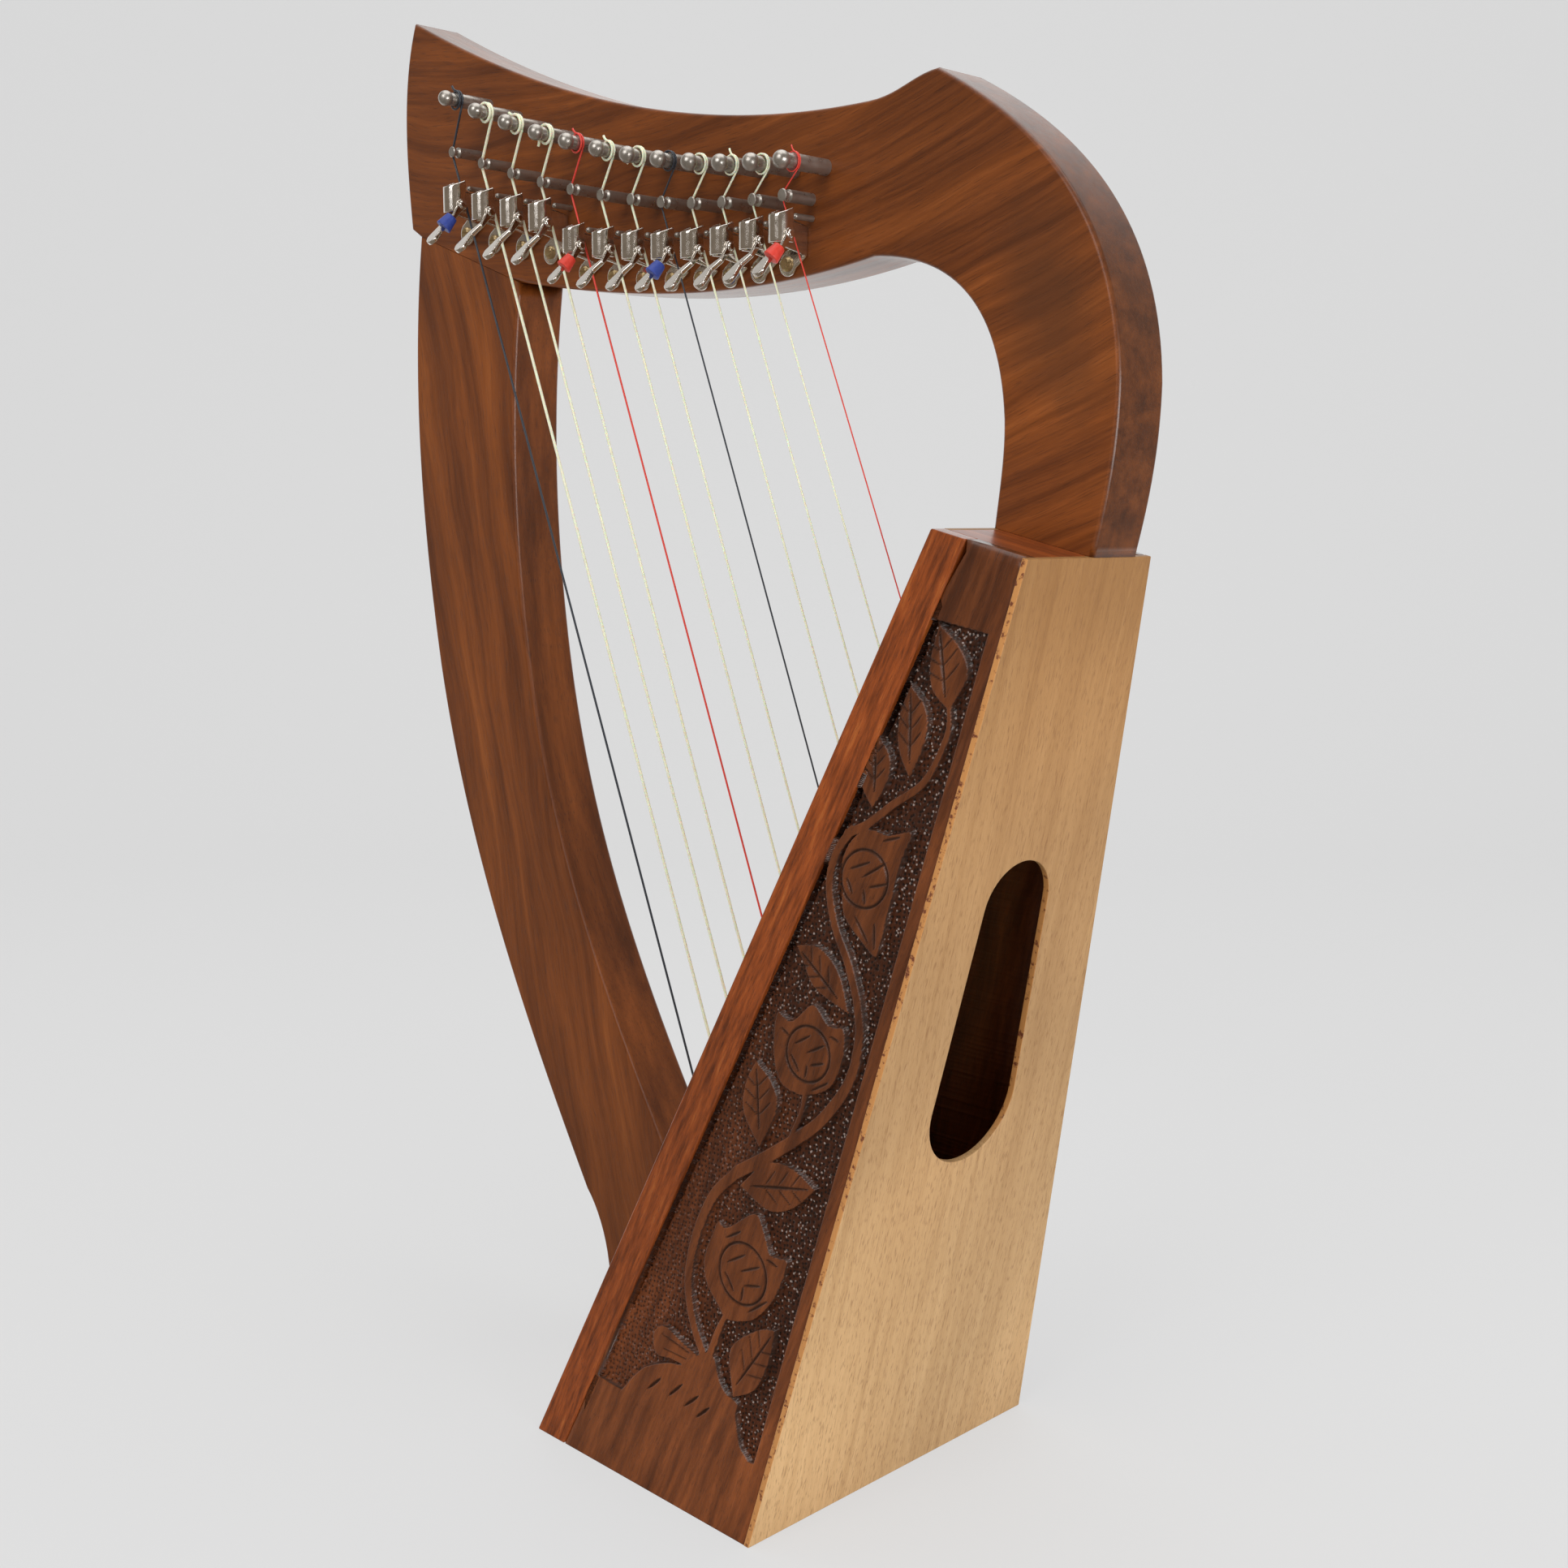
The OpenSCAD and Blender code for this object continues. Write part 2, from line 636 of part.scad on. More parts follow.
// ---- strings ----
// One string: turns on its tuning pin, over the bridge pin, down to the soundboard and
// through it to its toggle. The turns clear the pin by the pin's own fit.
module string(i) {
    r = string_r(i);
    for (k = [1:turns]) translate([pin_x(i), -coil_y - k * (2 * r + 0.05), pin_z(i)]) rotate([90, 0, 0])
        rotate_extrude() translate([wind_r(i), 0]) circle(r = r);
    path = [winding(i), bend(i), foot_top(i), foot(i) - front_out * (plate_t + inner_rib_t)];
    for (k = [0:len(path) - 2]) bar(path[k], path[k + 1], r);
    for (k = [1:len(path) - 2]) translate(path[k]) sphere(r = r + joint);
}

// F strings are blue and C strings are red; the lowest string is an F
function shade(i) = i % 7 == 0 ? "blue" : i % 7 == 4 ? "red" : "natural";
module string_set(name) { for (i = [0:strings - 1]) if (shade(i) == name) string(i); }
module strings_natural() { color("cornsilk") string_set("natural"); }
module strings_blue() { color("midnightblue") string_set("blue"); }
module strings_red() { color("firebrick") string_set("red"); }

soundboard();
back_plate();
side_panel_left();
side_panel_right();
front_batten_left();
front_batten_right();
top_board();
base_board();
string_rib();
inner_string_rib();
corner_linings();
back_braces();
neck();
pillar();
pillar_dowels();
neck_screws();
pillar_screws();
string_grommets();
string_toggles();
bridge_pins();
fret_pins();
lever_brackets();
lever_screws();
strings_natural();
strings_blue();
strings_red();
tuning_pin(0);  // tuning_pin_01
tuning_pin(1);  // tuning_pin_02
tuning_pin(2);  // tuning_pin_03
tuning_pin(3);  // tuning_pin_04
tuning_pin(4);  // tuning_pin_05
tuning_pin(5);  // tuning_pin_06
tuning_pin(6);  // tuning_pin_07
tuning_pin(7);  // tuning_pin_08
tuning_pin(8);  // tuning_pin_09
tuning_pin(9);  // tuning_pin_10
tuning_pin(10);  // tuning_pin_11
tuning_pin(11);  // tuning_pin_12
lever(0);  // lever_01
lever(1);  // lever_02
lever(2);  // lever_03
lever(3);  // lever_04
lever(4);  // lever_05
lever(5);  // lever_06
lever(6);  // lever_07
lever(7);  // lever_08
lever(8);  // lever_09
lever(9);  // lever_10
lever(10);  // lever_11
lever(11);  // lever_12
lever_sleeve_01();
lever_sleeve_05();
lever_sleeve_08();
lever_sleeve_12();
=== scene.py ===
"""Looks of the small lever harp. Lengths in the tables below are millimetres in the part's frame:
+X towards the player, -Y the string side, +Z up. The soundbox's base is centred on the origin."""

import math
import random

import bmesh
import bpy
import numpy as np
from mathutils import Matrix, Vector


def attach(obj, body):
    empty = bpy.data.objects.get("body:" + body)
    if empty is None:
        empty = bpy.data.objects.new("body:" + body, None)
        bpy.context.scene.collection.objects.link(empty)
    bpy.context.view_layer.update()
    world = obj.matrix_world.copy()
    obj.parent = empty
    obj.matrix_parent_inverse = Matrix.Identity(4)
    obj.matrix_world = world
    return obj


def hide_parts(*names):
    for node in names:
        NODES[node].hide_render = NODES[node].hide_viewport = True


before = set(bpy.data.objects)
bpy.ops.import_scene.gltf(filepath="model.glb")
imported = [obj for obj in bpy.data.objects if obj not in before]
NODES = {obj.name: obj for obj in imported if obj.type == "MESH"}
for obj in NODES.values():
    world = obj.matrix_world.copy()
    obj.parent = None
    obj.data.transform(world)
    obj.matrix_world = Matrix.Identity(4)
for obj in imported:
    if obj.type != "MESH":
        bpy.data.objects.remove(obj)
MM = 0.001
X, Y, Z = (1, 0, 0), (0, 1, 0), (0, 0, 1)
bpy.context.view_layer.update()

# ------------------------------------------------------------------ node materials


class Shader:
    """A node material in the making. Its methods, past put and set, hand back a node's output socket."""

    def __init__(self, name):
        self.mat = bpy.data.materials.new(name)
        self.mat.use_nodes = True
        self.tree = self.mat.node_tree
        self.tree.nodes.clear()
        out = self.tree.nodes.new("ShaderNodeOutputMaterial")
        self.bsdf = self.tree.nodes.new("ShaderNodeBsdfPrincipled")
        self.tree.links.new(self.bsdf.outputs[0], out.inputs[0])
        self.place = self.tree.nodes.new("ShaderNodeTexCoord").outputs["Object"]

    def put(self, socket, value):
        if isinstance(value, bpy.types.NodeSocket):
            self.tree.links.new(value, socket)
        elif isinstance(value, (tuple, list)) and len(value) == 3 and socket.type == "RGBA":
            socket.default_value = (*value, 1)
        else:
            socket.default_value = value

    def set(self, **values):
        for key, value in values.items():
            self.put(self.bsdf.inputs[key.replace("_", " ")], value)

    def calc(self, op, a, b=0.0, c=0.0):
        n = self.tree.nodes.new("ShaderNodeMath")
        n.operation = op
        for socket, value in zip(n.inputs, (a, b, c)):
            self.put(socket, value)
        return n.outputs[0]

    def times(self, a, b):
        return self.calc("MULTIPLY", a, b)

    def dot(self, axis, v=None):
        n = self.tree.nodes.new("ShaderNodeVectorMath")
        n.operation = "DOT_PRODUCT"
        self.put(n.inputs[0], v or self.place)
        self.put(n.inputs[1], axis)
        return n.outputs["Value"]

    def vector(self, x, y, z):
        n = self.tree.nodes.new("ShaderNodeCombineXYZ")
        for socket, value in zip(n.inputs, (x, y, z)):
            self.put(socket, value)
        return n.outputs[0]

    def stretched(self, x, y, z):
        """The place with a scale for each axis."""
        return self.vector(*(self.times(self.dot(axis), scale) for axis, scale in ((X, x), (Y, y), (Z, z))))

    def normal(self):
        return self.tree.nodes.new("ShaderNodeNewGeometry").outputs["Normal"]

    def noise(self, v=None, scale=1.0, detail=3.0, rough=0.5):
        n = self.tree.nodes.new("ShaderNodeTexNoise")
        self.put(n.inputs["Vector"], v or self.place)
        for key, value in (("Scale", scale), ("Detail", detail), ("Roughness", rough)):
            n.inputs[key].default_value = value
        return n.outputs["Fac"]

    def cells(self, scale):
        n = self.tree.nodes.new("ShaderNodeTexVoronoi")
        self.put(n.inputs["Vector"], self.place)
        n.inputs["Scale"].default_value = scale
        return n.outputs["Distance"]

    def span(self, value, low, high, to_low=0.0, to_high=1.0):
        """A value between low and high, spread from to_low to to_high and held at the ends."""
        n = self.tree.nodes.new("ShaderNodeMapRange")
        n.clamp = True
        for socket, v in zip(n.inputs, (value, low, high, to_low, to_high)):
            self.put(socket, v)
        return n.outputs[0]

    def ramp(self, value, *stops):
        n = self.tree.nodes.new("ShaderNodeValToRGB")
        band = n.color_ramp
        while len(band.elements) < len(stops):
            band.elements.new(0.5)
        for element, (place, colour) in zip(band.elements, stops):
            element.position = place
            element.color = (*colour, 1)
        self.put(n.inputs[0], value)
        return n.outputs[0]

    def mix(self, fac, a, b, how="MIX"):
        n = self.tree.nodes.new("ShaderNodeMix")
        n.data_type, n.blend_type = "RGBA", how
        n.clamp_factor = True
        self.put(n.inputs[0], fac)
        self.put(n.inputs[6], a)
        self.put(n.inputs[7], b)
        return n.outputs[2]

    def dim(self, colour, share):
        """A colour times a grey share."""
        return self.mix(1.0, colour, self.vector(share, share, share), "MULTIPLY")

    def bump(self, height, depth_mm, strength):
        n = self.tree.nodes.new("ShaderNodeBump")
        n.inputs["Strength"].default_value = strength
        n.inputs["Distance"].default_value = depth_mm * MM
        self.put(n.inputs["Height"], height)
        return n.outputs[0]

    def attribute(self, name):
        n = self.tree.nodes.new("ShaderNodeAttribute")
        n.attribute_name = name
        return n.outputs["Fac"]

    def grain(self, axis):
        """Coordinates (along, across, across) for wood whose grain runs along axis."""
        a = Vector(axis).normalized()
        side = a.cross(Vector(Y) if abs(a.y) < 0.9 else Vector(X)).normalized()
        return self.dot(tuple(a)), self.dot(tuple(side)), self.dot(tuple(side.cross(a)))


def wood(name, axis, tones, rings, streaks, pores=0.35, gloss=0.42, coat=0.25, wander=0.008, seed=0.0,
         tint=None, bow=None):
    """Sawn wood: growth bands, lengthwise streaks, hair lines and fine dark pores. Rings and streaks are
    the noise scales across the grain, wander is how far the grain sways, in metres, a bow bends it along
    its run, and a tint is a function that changes the colour. The rims, which face away from Y, take most
    of the coat."""
    s = Shader(name)
    along, u, v = s.grain(axis)
    if bow:
        u = s.calc("SUBTRACT", u, s.times(along, s.calc("MULTIPLY_ADD", along, *bow)))
    sway = s.noise(s.vector(s.times(along, 7), s.times(u, 16), seed), detail=2)
    u = s.calc("ADD", u, s.times(s.calc("SUBTRACT", sway, 0.5), wander * 2))

    def layer(lengthwise, across, detail, rough, shift=0.0):
        place = s.vector(s.calc("MULTIPLY_ADD", along, lengthwise, seed + shift), s.times(u, across),
                         s.times(v, across))
        return s.noise(place, detail=detail, rough=rough)

    band = layer(lengthwise=5, across=rings, detail=3, rough=0.55)
    streak = layer(lengthwise=14, across=streaks, detail=5, rough=0.65, shift=3.1)
    hair = layer(lengthwise=70, across=1700, detail=2, rough=0.6, shift=7.7)
    pore = s.span(layer(lengthwise=110, across=2600, detail=1, rough=0.5, shift=11.3), 0.60, 0.68)
    tone = s.calc("ADD", s.times(band, 0.55), s.times(streak, 0.33))
    tone = s.calc("ADD", tone, s.times(hair, 0.12))
    darkest = tones[0][1]
    colour = s.mix(s.times(pore, pores), s.ramp(tone, *tones), darkest)
    colour = s.dim(colour, s.span(s.noise(scale=9, detail=1), 0.3, 0.7, 0.86, 1.12))
    if tint:
        colour = tint(s, colour)
    furrows = s.calc("SUBTRACT", s.times(hair, 0.5), pore)
    rim = s.span(s.calc("ABSOLUTE", s.dot(Y, s.normal())), 0.4, 0.9, coat * 2.4, coat * 0.4)
    s.set(Base_Color=colour, Roughness=s.span(streak, 0.3, 0.7, gloss - 0.05, gloss + 0.07),
          Coat_Weight=rim, Coat_Roughness=gloss * 0.6, Normal=s.bump(furrows, depth_mm=0.05, strength=0.5),
          IOR=1.45, Specular_IOR_Level=0.35)
    return s


def dulled(colour, share):
    return tuple(c * share for c in colour)


def metal(name, colour, rough, scratch=0.3, metallic=1.0):
    """Worn metal with fine scratches."""
    s = Shader(name)
    wear = s.noise(scale=420, detail=4)
    fine = s.noise(s.stretched(900, 900, 5200), detail=2)
    s.set(Base_Color=s.ramp(wear, (0.25, dulled(colour, 0.86)), (0.7, colour)), Metallic=metallic,
          Roughness=s.span(wear, 0.3, 0.7, rough * 0.75, rough * 1.3),
          Normal=s.bump(fine, depth_mm=0.006, strength=scratch))
    return s


def plastic(name, colour, rough, soft=0.0):
    """Drawn nylon and soft sleeves; soft is the share of light that passes under the surface."""
    s = Shader(name)
    n = s.noise(scale=700, detail=3)
    s.set(Base_Color=s.ramp(n, (0.3, dulled(colour, 0.85)), (0.7, colour)),
          Roughness=s.span(n, 0.3, 0.7, rough * 0.85, rough * 1.2), IOR=1.5,
          Subsurface_Weight=soft, Subsurface_Scale=0.002, Normal=s.bump(n, depth_mm=0.01, strength=0.3))
    return s


# Tones of a wood: places on the ramp and their colours, dark to light
WALNUT = ((0.18, (0.026, 0.0075, 0.0022)), (0.42, (0.128, 0.0315, 0.0050)),
          (0.58, (0.232, 0.0600, 0.0085)), (0.80, (0.390, 0.1150, 0.0200)))
PANEL = ((0.18, (0.018, 0.0060, 0.0025)), (0.42, (0.082, 0.0220, 0.0060)),
         (0.60, (0.162, 0.0440, 0.0105)), (0.82, (0.270, 0.0780, 0.0200)))
BATTEN = ((0.20, (0.034, 0.0090, 0.0030)), (0.38, (0.130, 0.0280, 0.0055)),
          (0.56, (0.315, 0.0680, 0.0110)), (0.78, (0.520, 0.1650, 0.0340)))
PALE = ((0.20, (0.360, 0.200, 0.085)), (0.42, (0.560, 0.345, 0.160)),
        (0.60, (0.640, 0.410, 0.200)), (0.85, (0.740, 0.500, 0.270)))

# ------------------------------------------------------------------ meshes


def add(name, verts, faces, material, slot, body="frame", replaces=()):
    """A new piece from vertices in millimetres, riding on a CAD body in place of the nodes it replaces."""
    mesh = bpy.data.meshes.new(name)
    mesh.from_pydata([tuple(c * MM for c in p) for p in verts], [], faces)
    mesh.validate()
    mesh.shade_smooth()
    o = bpy.data.objects.new(name, mesh)
    bpy.context.scene.collection.objects.link(o)
    o.data.materials.append(material)
    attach(o, body)
    if replaces:
        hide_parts(*replaces)
    return o


def face_out(o):
    """Turns every face of a closed mesh outwards."""
    bm = bmesh.new()
    bm.from_mesh(o.data)
    bmesh.ops.recalc_face_normals(bm, faces=bm.faces)
    bm.to_mesh(o.data)
    bm.free()


def weighted(o):
    """Shades flat faces flat and rims round."""
    n = o.modifiers.new("normals", "WEIGHTED_NORMAL")
    n.keep_sharp = False
    n.weight = 50


def soften(o, width):
    """Rounds a piece's edges by modifiers and shades it smoothly, without touching its own vertices."""
    o.data.polygons.foreach_set("use_smooth", [True] * len(o.data.polygons))
    weld = o.modifiers.new("weld", "WELD")
    weld.merge_threshold = 0.02 * MM
    bevel = o.modifiers.new("bevel", "BEVEL")
    bevel.width = width * MM
    bevel.segments = 2
    bevel.limit_method = "ANGLE"
    bevel.angle_limit = math.radians(32)
    weighted(o)


def melt(o, voxel, passes):
    """Turns a small pressed or cast piece into one smooth skin with rounded edges."""
    remesh = o.modifiers.new("skin", "REMESH")
    remesh.mode = "VOXEL"
    remesh.voxel_size = voxel * MM
    remesh.use_smooth_shade = True
    smooth = o.modifiers.new("smooth", "SMOOTH")
    smooth.factor = 0.5
    smooth.iterations = passes


def dress(names, shader, width=None, voxel=None, passes=8):
    """Gives CAD nodes their finish. A width eases their edges, and a voxel size melts them instead."""
    for name in names:
        o = NODES[name]
        o.data.materials.clear()
        o.data.materials.append(shader.mat)
        if voxel:
            melt(o, voxel, passes)
        else:
            soften(o, width)


def bezier(p, n):
    """The points of a cubic curve after its first."""
    t = np.linspace(0, 1, n + 1)[1:, None]
    a, b, c, d = (np.array(q, float) for q in p)
    return (a * (1 - t) ** 3 + 3 * b * t * (1 - t) ** 2 + 3 * c * t * t * (1 - t) + d * t ** 3).tolist()


def slab(name, outline, edge_radius, node, shader):
    """A plank from y = 0 to PLANK, cut to an outline of (x, z) points, in place of a CAD node. Its rims
    are rounded by a radius for each edge of the outline."""
    pts = np.array(outline, float)
    n = len(pts)
    edge = np.roll(pts, -1, 0) - pts
    edge /= np.linalg.norm(edge, axis=1)[:, None]
    area = np.sum(pts[:, 0] * np.roll(pts[:, 1], -1) - np.roll(pts[:, 0], -1) * pts[:, 1])
    inward = np.stack([-edge[:, 1], edge[:, 0]], 1) * math.copysign(1, area)
    radius = np.array(edge_radius, float)
    before = np.roll(np.arange(n), 1)
    depth = np.maximum(radius, radius[before])

    def inset(share):
        out = np.zeros_like(pts)
        for i in range(n):
            a, b = inward[before[i]], inward[i]
            da, db = radius[before[i]] * share, radius[i] * share
            det = a[0] * b[1] - a[1] * b[0]
            if abs(det) > 0.05:
                out[i] = pts[i] + [(da * b[1] - db * a[1]) / det, (a[0] * db - b[0] * da) / det]
            else:  # the two edges run nearly straight on
                m = a + b
                out[i] = pts[i] + m / np.dot(m, m) * (da + db)
        return out

    turns = [math.radians(q) for q in (0, 22.5, 45, 67.5, 90)]
    rings = [(inset(1 - math.sin(q)), depth * (1 - math.cos(q))) for q in turns]
    rings += [(inset(1 - math.sin(q)), PLANK - depth * (1 - math.cos(q))) for q in reversed(turns)]
    verts, faces = [], []
    for ring, y in rings:
        verts += [(ring[i][0], y[i], ring[i][1]) for i in range(n)]
    for k in range(len(rings) - 1):
        for i in range(n):
            j = (i + 1) % n
            faces.append((k * n + i, k * n + j, (k + 1) * n + j, (k + 1) * n + i))
    faces.append(tuple(range(n)))
    last = (len(rings) - 1) * n
    faces.append(tuple(reversed(range(last, last + n))))
    o = add(name, verts, faces, shader.mat, slot="walnut", replaces=(node,))
    face_out(o)
    weighted(o)


def tube(path, radius, sides=12):
    """Vertices and faces of a round tube along a path, ends closed."""
    path = [Vector(p) for p in path]
    verts, faces = [], []
    normal = None
    for k, p in enumerate(path):
        d = (path[min(k + 1, len(path) - 1)] - path[max(k - 1, 0)]).normalized()
        if normal is None:
            normal = d.orthogonal().normalized()
        normal = (normal - d * normal.dot(d)).normalized()
        other = d.cross(normal)
        for q in range(sides):
            a = math.tau * q / sides
            verts.append(p + (normal * math.cos(a) + other * math.sin(a)) * radius)
    for k in range(len(path) - 1):
        for q in range(sides):
            a, b = k * sides + q, k * sides + (q + 1) % sides
            faces.append((a, b, b + sides, a + sides))
    faces.append(tuple(reversed(range(sides))))
    faces.append(tuple(range(len(verts) - sides, len(verts))))
    return [tuple(v) for v in verts], faces


def joined(parts):
    """One vertex and face list from several."""
    verts, faces = [], []
    for v, f in parts:
        faces += [tuple(i + len(verts) for i in face) for face in f]
        verts += v
    return verts, faces


# ------------------------------------------------------------------ neck and pillar

PLANK = 24.5  # thickness of the neck and the pillar
# Corners (x, z): the head, the crest over the elbow, and the seam between neck and pillar
HEAD_TOP, HEAD_LOW = (-231.5, 569.5), (-238.1, 482.2)
CREST = (73.7, 501.3)
SEAM_OUT, SEAM_IN = (-231.4, 478.4), (-158.7, 452.1)
BOX_FRONT, BOX_BACK = (100.4, 350.3), (141.0, 341.0)  # top corners of the soundbox
FOOT_FRONT, FOOT_BACK = -60, 60  # its bottom corners
PLATE, EDGE, PROUD = 2.5, 15.0, 0.4  # plate thickness, depth of a batten, how far it stands proud

FRONT = Vector((BOX_FRONT[0] - FOOT_FRONT, 0, BOX_FRONT[1])).normalized()  # up the soundboard
OUT = Vector((-FRONT.z, 0, FRONT.x))  # out of the soundboard


def front_at(z):
    return (FOOT_FRONT + z * (BOX_FRONT[0] - FOOT_FRONT) / BOX_FRONT[1], z)


def back_at(z):
    return (FOOT_BACK + z * (BOX_BACK[0] - FOOT_BACK) / BOX_BACK[1], z)


def outline(start, *parts):
    """Points and edge radii from curves (three control points, steps, radius) and straight edges
    (point, radius)."""
    pts, radii = [list(start)], []
    for part in parts:
        if len(part) == 2:
            pts.append(list(part[0]))
            radii.append(part[1])
        else:
            more = bezier((pts[-1], *part[0]), part[1])
            pts += more
            radii += [part[2]] * part[1]
    return pts[:-1], radii


def neck():
    r = 1.6
    return outline(
        HEAD_TOP,
        (((-146.5, 527.6), (-53.3, 495.7), (42, 495.5)), 48, r),
        (((56, 495.4), (62, 501), CREST), 10, r),
        (((114.5, 479), (148, 449), (149.7, 396)), 36, r),
        (((149.5, 376.7), (146.5, 360.4), BOX_BACK), 16, r),
        (BOX_FRONT, 0.1),
        (((102, 361.8), (104.2, 373.9), (103.7, 385.5)), 12, r),
        (((101.2, 422.6), (81.1, 440.4), (45, 443.2)), 28, r),
        (((-23.3, 432.5), (-90, 439.7), SEAM_IN), 40, r),
        (SEAM_OUT, 0.15),
        (HEAD_LOW, 0.6),
        (((-241.5, 510), (-244.5, 543.4), HEAD_TOP), 20, r))


def pillar():
    r = 1.8
    return outline(
        SEAM_OUT,
        (((-241, 425), (-240.5, 365), (-224.8, 286)), 30, r),
        (((-207, 202), (-166, 130), (-122.7, 61.6)), 30, r),
        (((-116, 55), (-110.5, 44), (-108.7, 32.1)), 8, r),
        (((-106, 12), (-98, 3), (-86, 0)), 10, r),
        (front_at(0), 0.6),
        (front_at(44), 0.1),
        (((-50, 62), (-66, 88), (-85.2, 117.9)), 10, r),
        (((-124, 180), (-150, 236), (-160.1, 309.9)), 28, r),
        (((-167, 358), (-167, 404), SEAM_IN), 24, r),
        (SEAM_OUT, 0.15))


# ------------------------------------------------------------------ carved side panels

HALF_FOOT, TAPER = 75, 0.12481  # half the soundbox's width at its foot, and how it falls with height
SIDE_T = 5.6  # thickness of a side panel
BACK_COS = 0.973  # cosine of the back plate's lean
# At the sloping top edge, x and z per millimetre of depth into the soundboard and into the back plate
FRONT_REACH, BACK_REACH = (0.9956, -0.2281), (-0.975, 0.223)
CARVED = 1.7  # depth of the carving
# Corners of the carved field: low front, high front, high back, low back, and the cut corner beside it
FIELD = ((-28.6, 31.5), (99.7, 322.5), (127.5, 317.8), (58.4, 29.0), (51.1, 28.0))
# A plain mound on the field's low edge
MOUND = ((52, 26), (50.3, 33), (47.2, 42), (47.6, 46.5), (42, 48), (37.5, 52), (33.5, 59), (26.5, 57),
         (19, 51), (11, 49), (2, 45.3), (-4.5, 41), (-13.8, 30), (-14, 26))
# A leaf: tip, two points down its right edge, base, two points down its left edge, root of its midrib
LEAVES = (
    ((107, 321), (117.5, 313), (121.2, 304.5), (114.5, 292), (104.3, 309), (106.2, 299), (112.5, 297)),
    ((97.5, 301), (105.5, 293), (106.2, 283), (100.5, 269), (93.4, 290), (94.3, 279), (100, 275)),
    ((84, 285), (92, 276.5), (91, 267), (85.5, 258), (79, 275), (79.4, 266), (86, 264)),
    ((56, 209.5), (67, 210.5), (77.5, 204), (84.5, 189.5), (60.5, 203), (67, 195.5), (78, 194.5)),
    ((42, 167), (51.5, 160.5), (54.5, 152), (47.5, 136), (37.6, 158), (37.6, 147.5), (46.5, 143)),
    ((76.5, 129.5), (66, 120), (54, 116.3), (38.5, 121.5), (64, 134.2), (51, 132.8), (45, 123)),
    ((63.5, 78), (61.5, 66), (56, 54), (45, 47.3), (54, 75), (41.5, 64), (46.5, 53)),
)
# The curled leaf at the vine's low end
SPRIG = ((27, 56), (18, 59), (6.5, 62), (1, 57), (3.5, 50), (12, 50.5), (20, 51))
# A stem: width at its start, width at its end, points
STEMS = (
    (3.2, 4.4, ((114.4, 294), (114.9, 287), (111.8, 278), (106, 268.8), (94, 260.8), (84, 253.5),
                (75.5, 249.5))),
    (4.4, 5.0, ((77.5, 251), (71.5, 243), (69.3, 232), (73.3, 219), (81.3, 206.5), (86.6, 195.5))),
    (5.0, 6.0, ((86.6, 195.5), (89, 184), (86.3, 168.5), (76.3, 154), (64.5, 144), (49.5, 133.5),
                (37.5, 126))),
    (5.4, 5.0, ((37.5, 126), (27, 115.5), (20.8, 103), (17.8, 91), (17.6, 79.5), (21.8, 67.5),
                (28.5, 58))),
    (3.4, 3.0, ((67, 161), (65.7, 153), (62, 144.5))),
    (3.4, 4.4, ((38, 75), (34.8, 68), (31.5, 58))),
)
# A rose: outline of its outer petals, centre and radii of its heart, petal cuts
ROSES = (
    (((76, 246), (84, 252.3), (94, 251.5), (104, 253.5), (101.3, 245), (99.3, 237), (97.5, 228),
      (95.5, 218.5), (93.2, 210.5), (85.5, 214.8), (77.3, 221.5), (75.2, 228), (73.6, 237)),
     (84.8, 235.6, 10.4, 9.6),
     (((78, 238), (87, 241.4)), ((84, 236), (94, 242)), ((85, 232), (86, 227.3)), ((87, 233), (95, 235.2)),
      ((77, 235), (80.2, 230)), ((82, 223), (89, 215)), ((91, 222), (92, 213.5)), ((92, 249), (99, 251)))),
    (((50, 185.2), (57.5, 183.6), (67, 191), (75.5, 185.2), (82.3, 185.3), (83.2, 176), (80.3, 167),
      (76, 162.6), (70, 160), (63, 158.8), (54, 161.5), (49.5, 172)),
     (66.4, 173.6, 10.2, 9.4),
     (((60, 176), (67, 180)), ((66, 174), (74, 178)), ((68, 170), (74.5, 172)), ((58.5, 172), (63, 167)),
      ((66.5, 170), (66, 165.4)), ((53, 180), (57, 178)), ((76, 181.5), (80, 180.5)),
      ((70, 162), (77, 166)))),
    (((30.5, 107.3), (35, 106), (48.5, 114.6), (54.5, 108), (58, 102.4), (65.8, 102.6), (65, 96.5), (61, 87),
      (54.2, 79), (48.5, 75.6), (38.5, 73.4), (33.5, 77), (26.5, 83.5), (24.3, 92), (28, 103)),
     (44.6, 91.8, 11.8, 10.6),
     (((37, 94), (45, 98.5)), ((44, 92.5), (53, 96.5)), ((46, 88), (54, 90)), ((36, 90), (41, 84.5)),
      ((45.5, 87.5), (45, 82)), ((35, 102), (42, 106)), ((56, 100), (61, 99)), ((49, 79.5), (58, 86)))),
)
# Short gouges in the mound
DASHES = (((1, 36.4), (7.6, 42.4)), ((12.4, 37.6), (19, 43.8)), ((21.2, 36.8), (28, 42.6)),
          ((27.6, 34.8), (34.2, 40.6)))


def spline(points, closed=False, steps=8):
    """A smooth curve through points."""
    p = np.array(points, float)
    if closed:
        p = np.vstack([p[-1:], p, p[:2]])
    else:
        p = np.vstack([2 * p[:1] - p[1:2], p, 2 * p[-1:] - p[-2:-1]])
    t = np.linspace(0, 1, steps, endpoint=False)[:, None]
    out = []
    for a, b, c, d in zip(p[:-3], p[1:-2], p[2:-1], p[3:]):
        out.append(0.5 * (2 * b + (c - a) * t + (2 * a - 5 * b + 4 * c - d) * t ** 2
                          + (3 * b - a - 3 * c + d) * t ** 3))
    if not closed:
        out.append(p[-2:-1])
    return np.vstack(out)


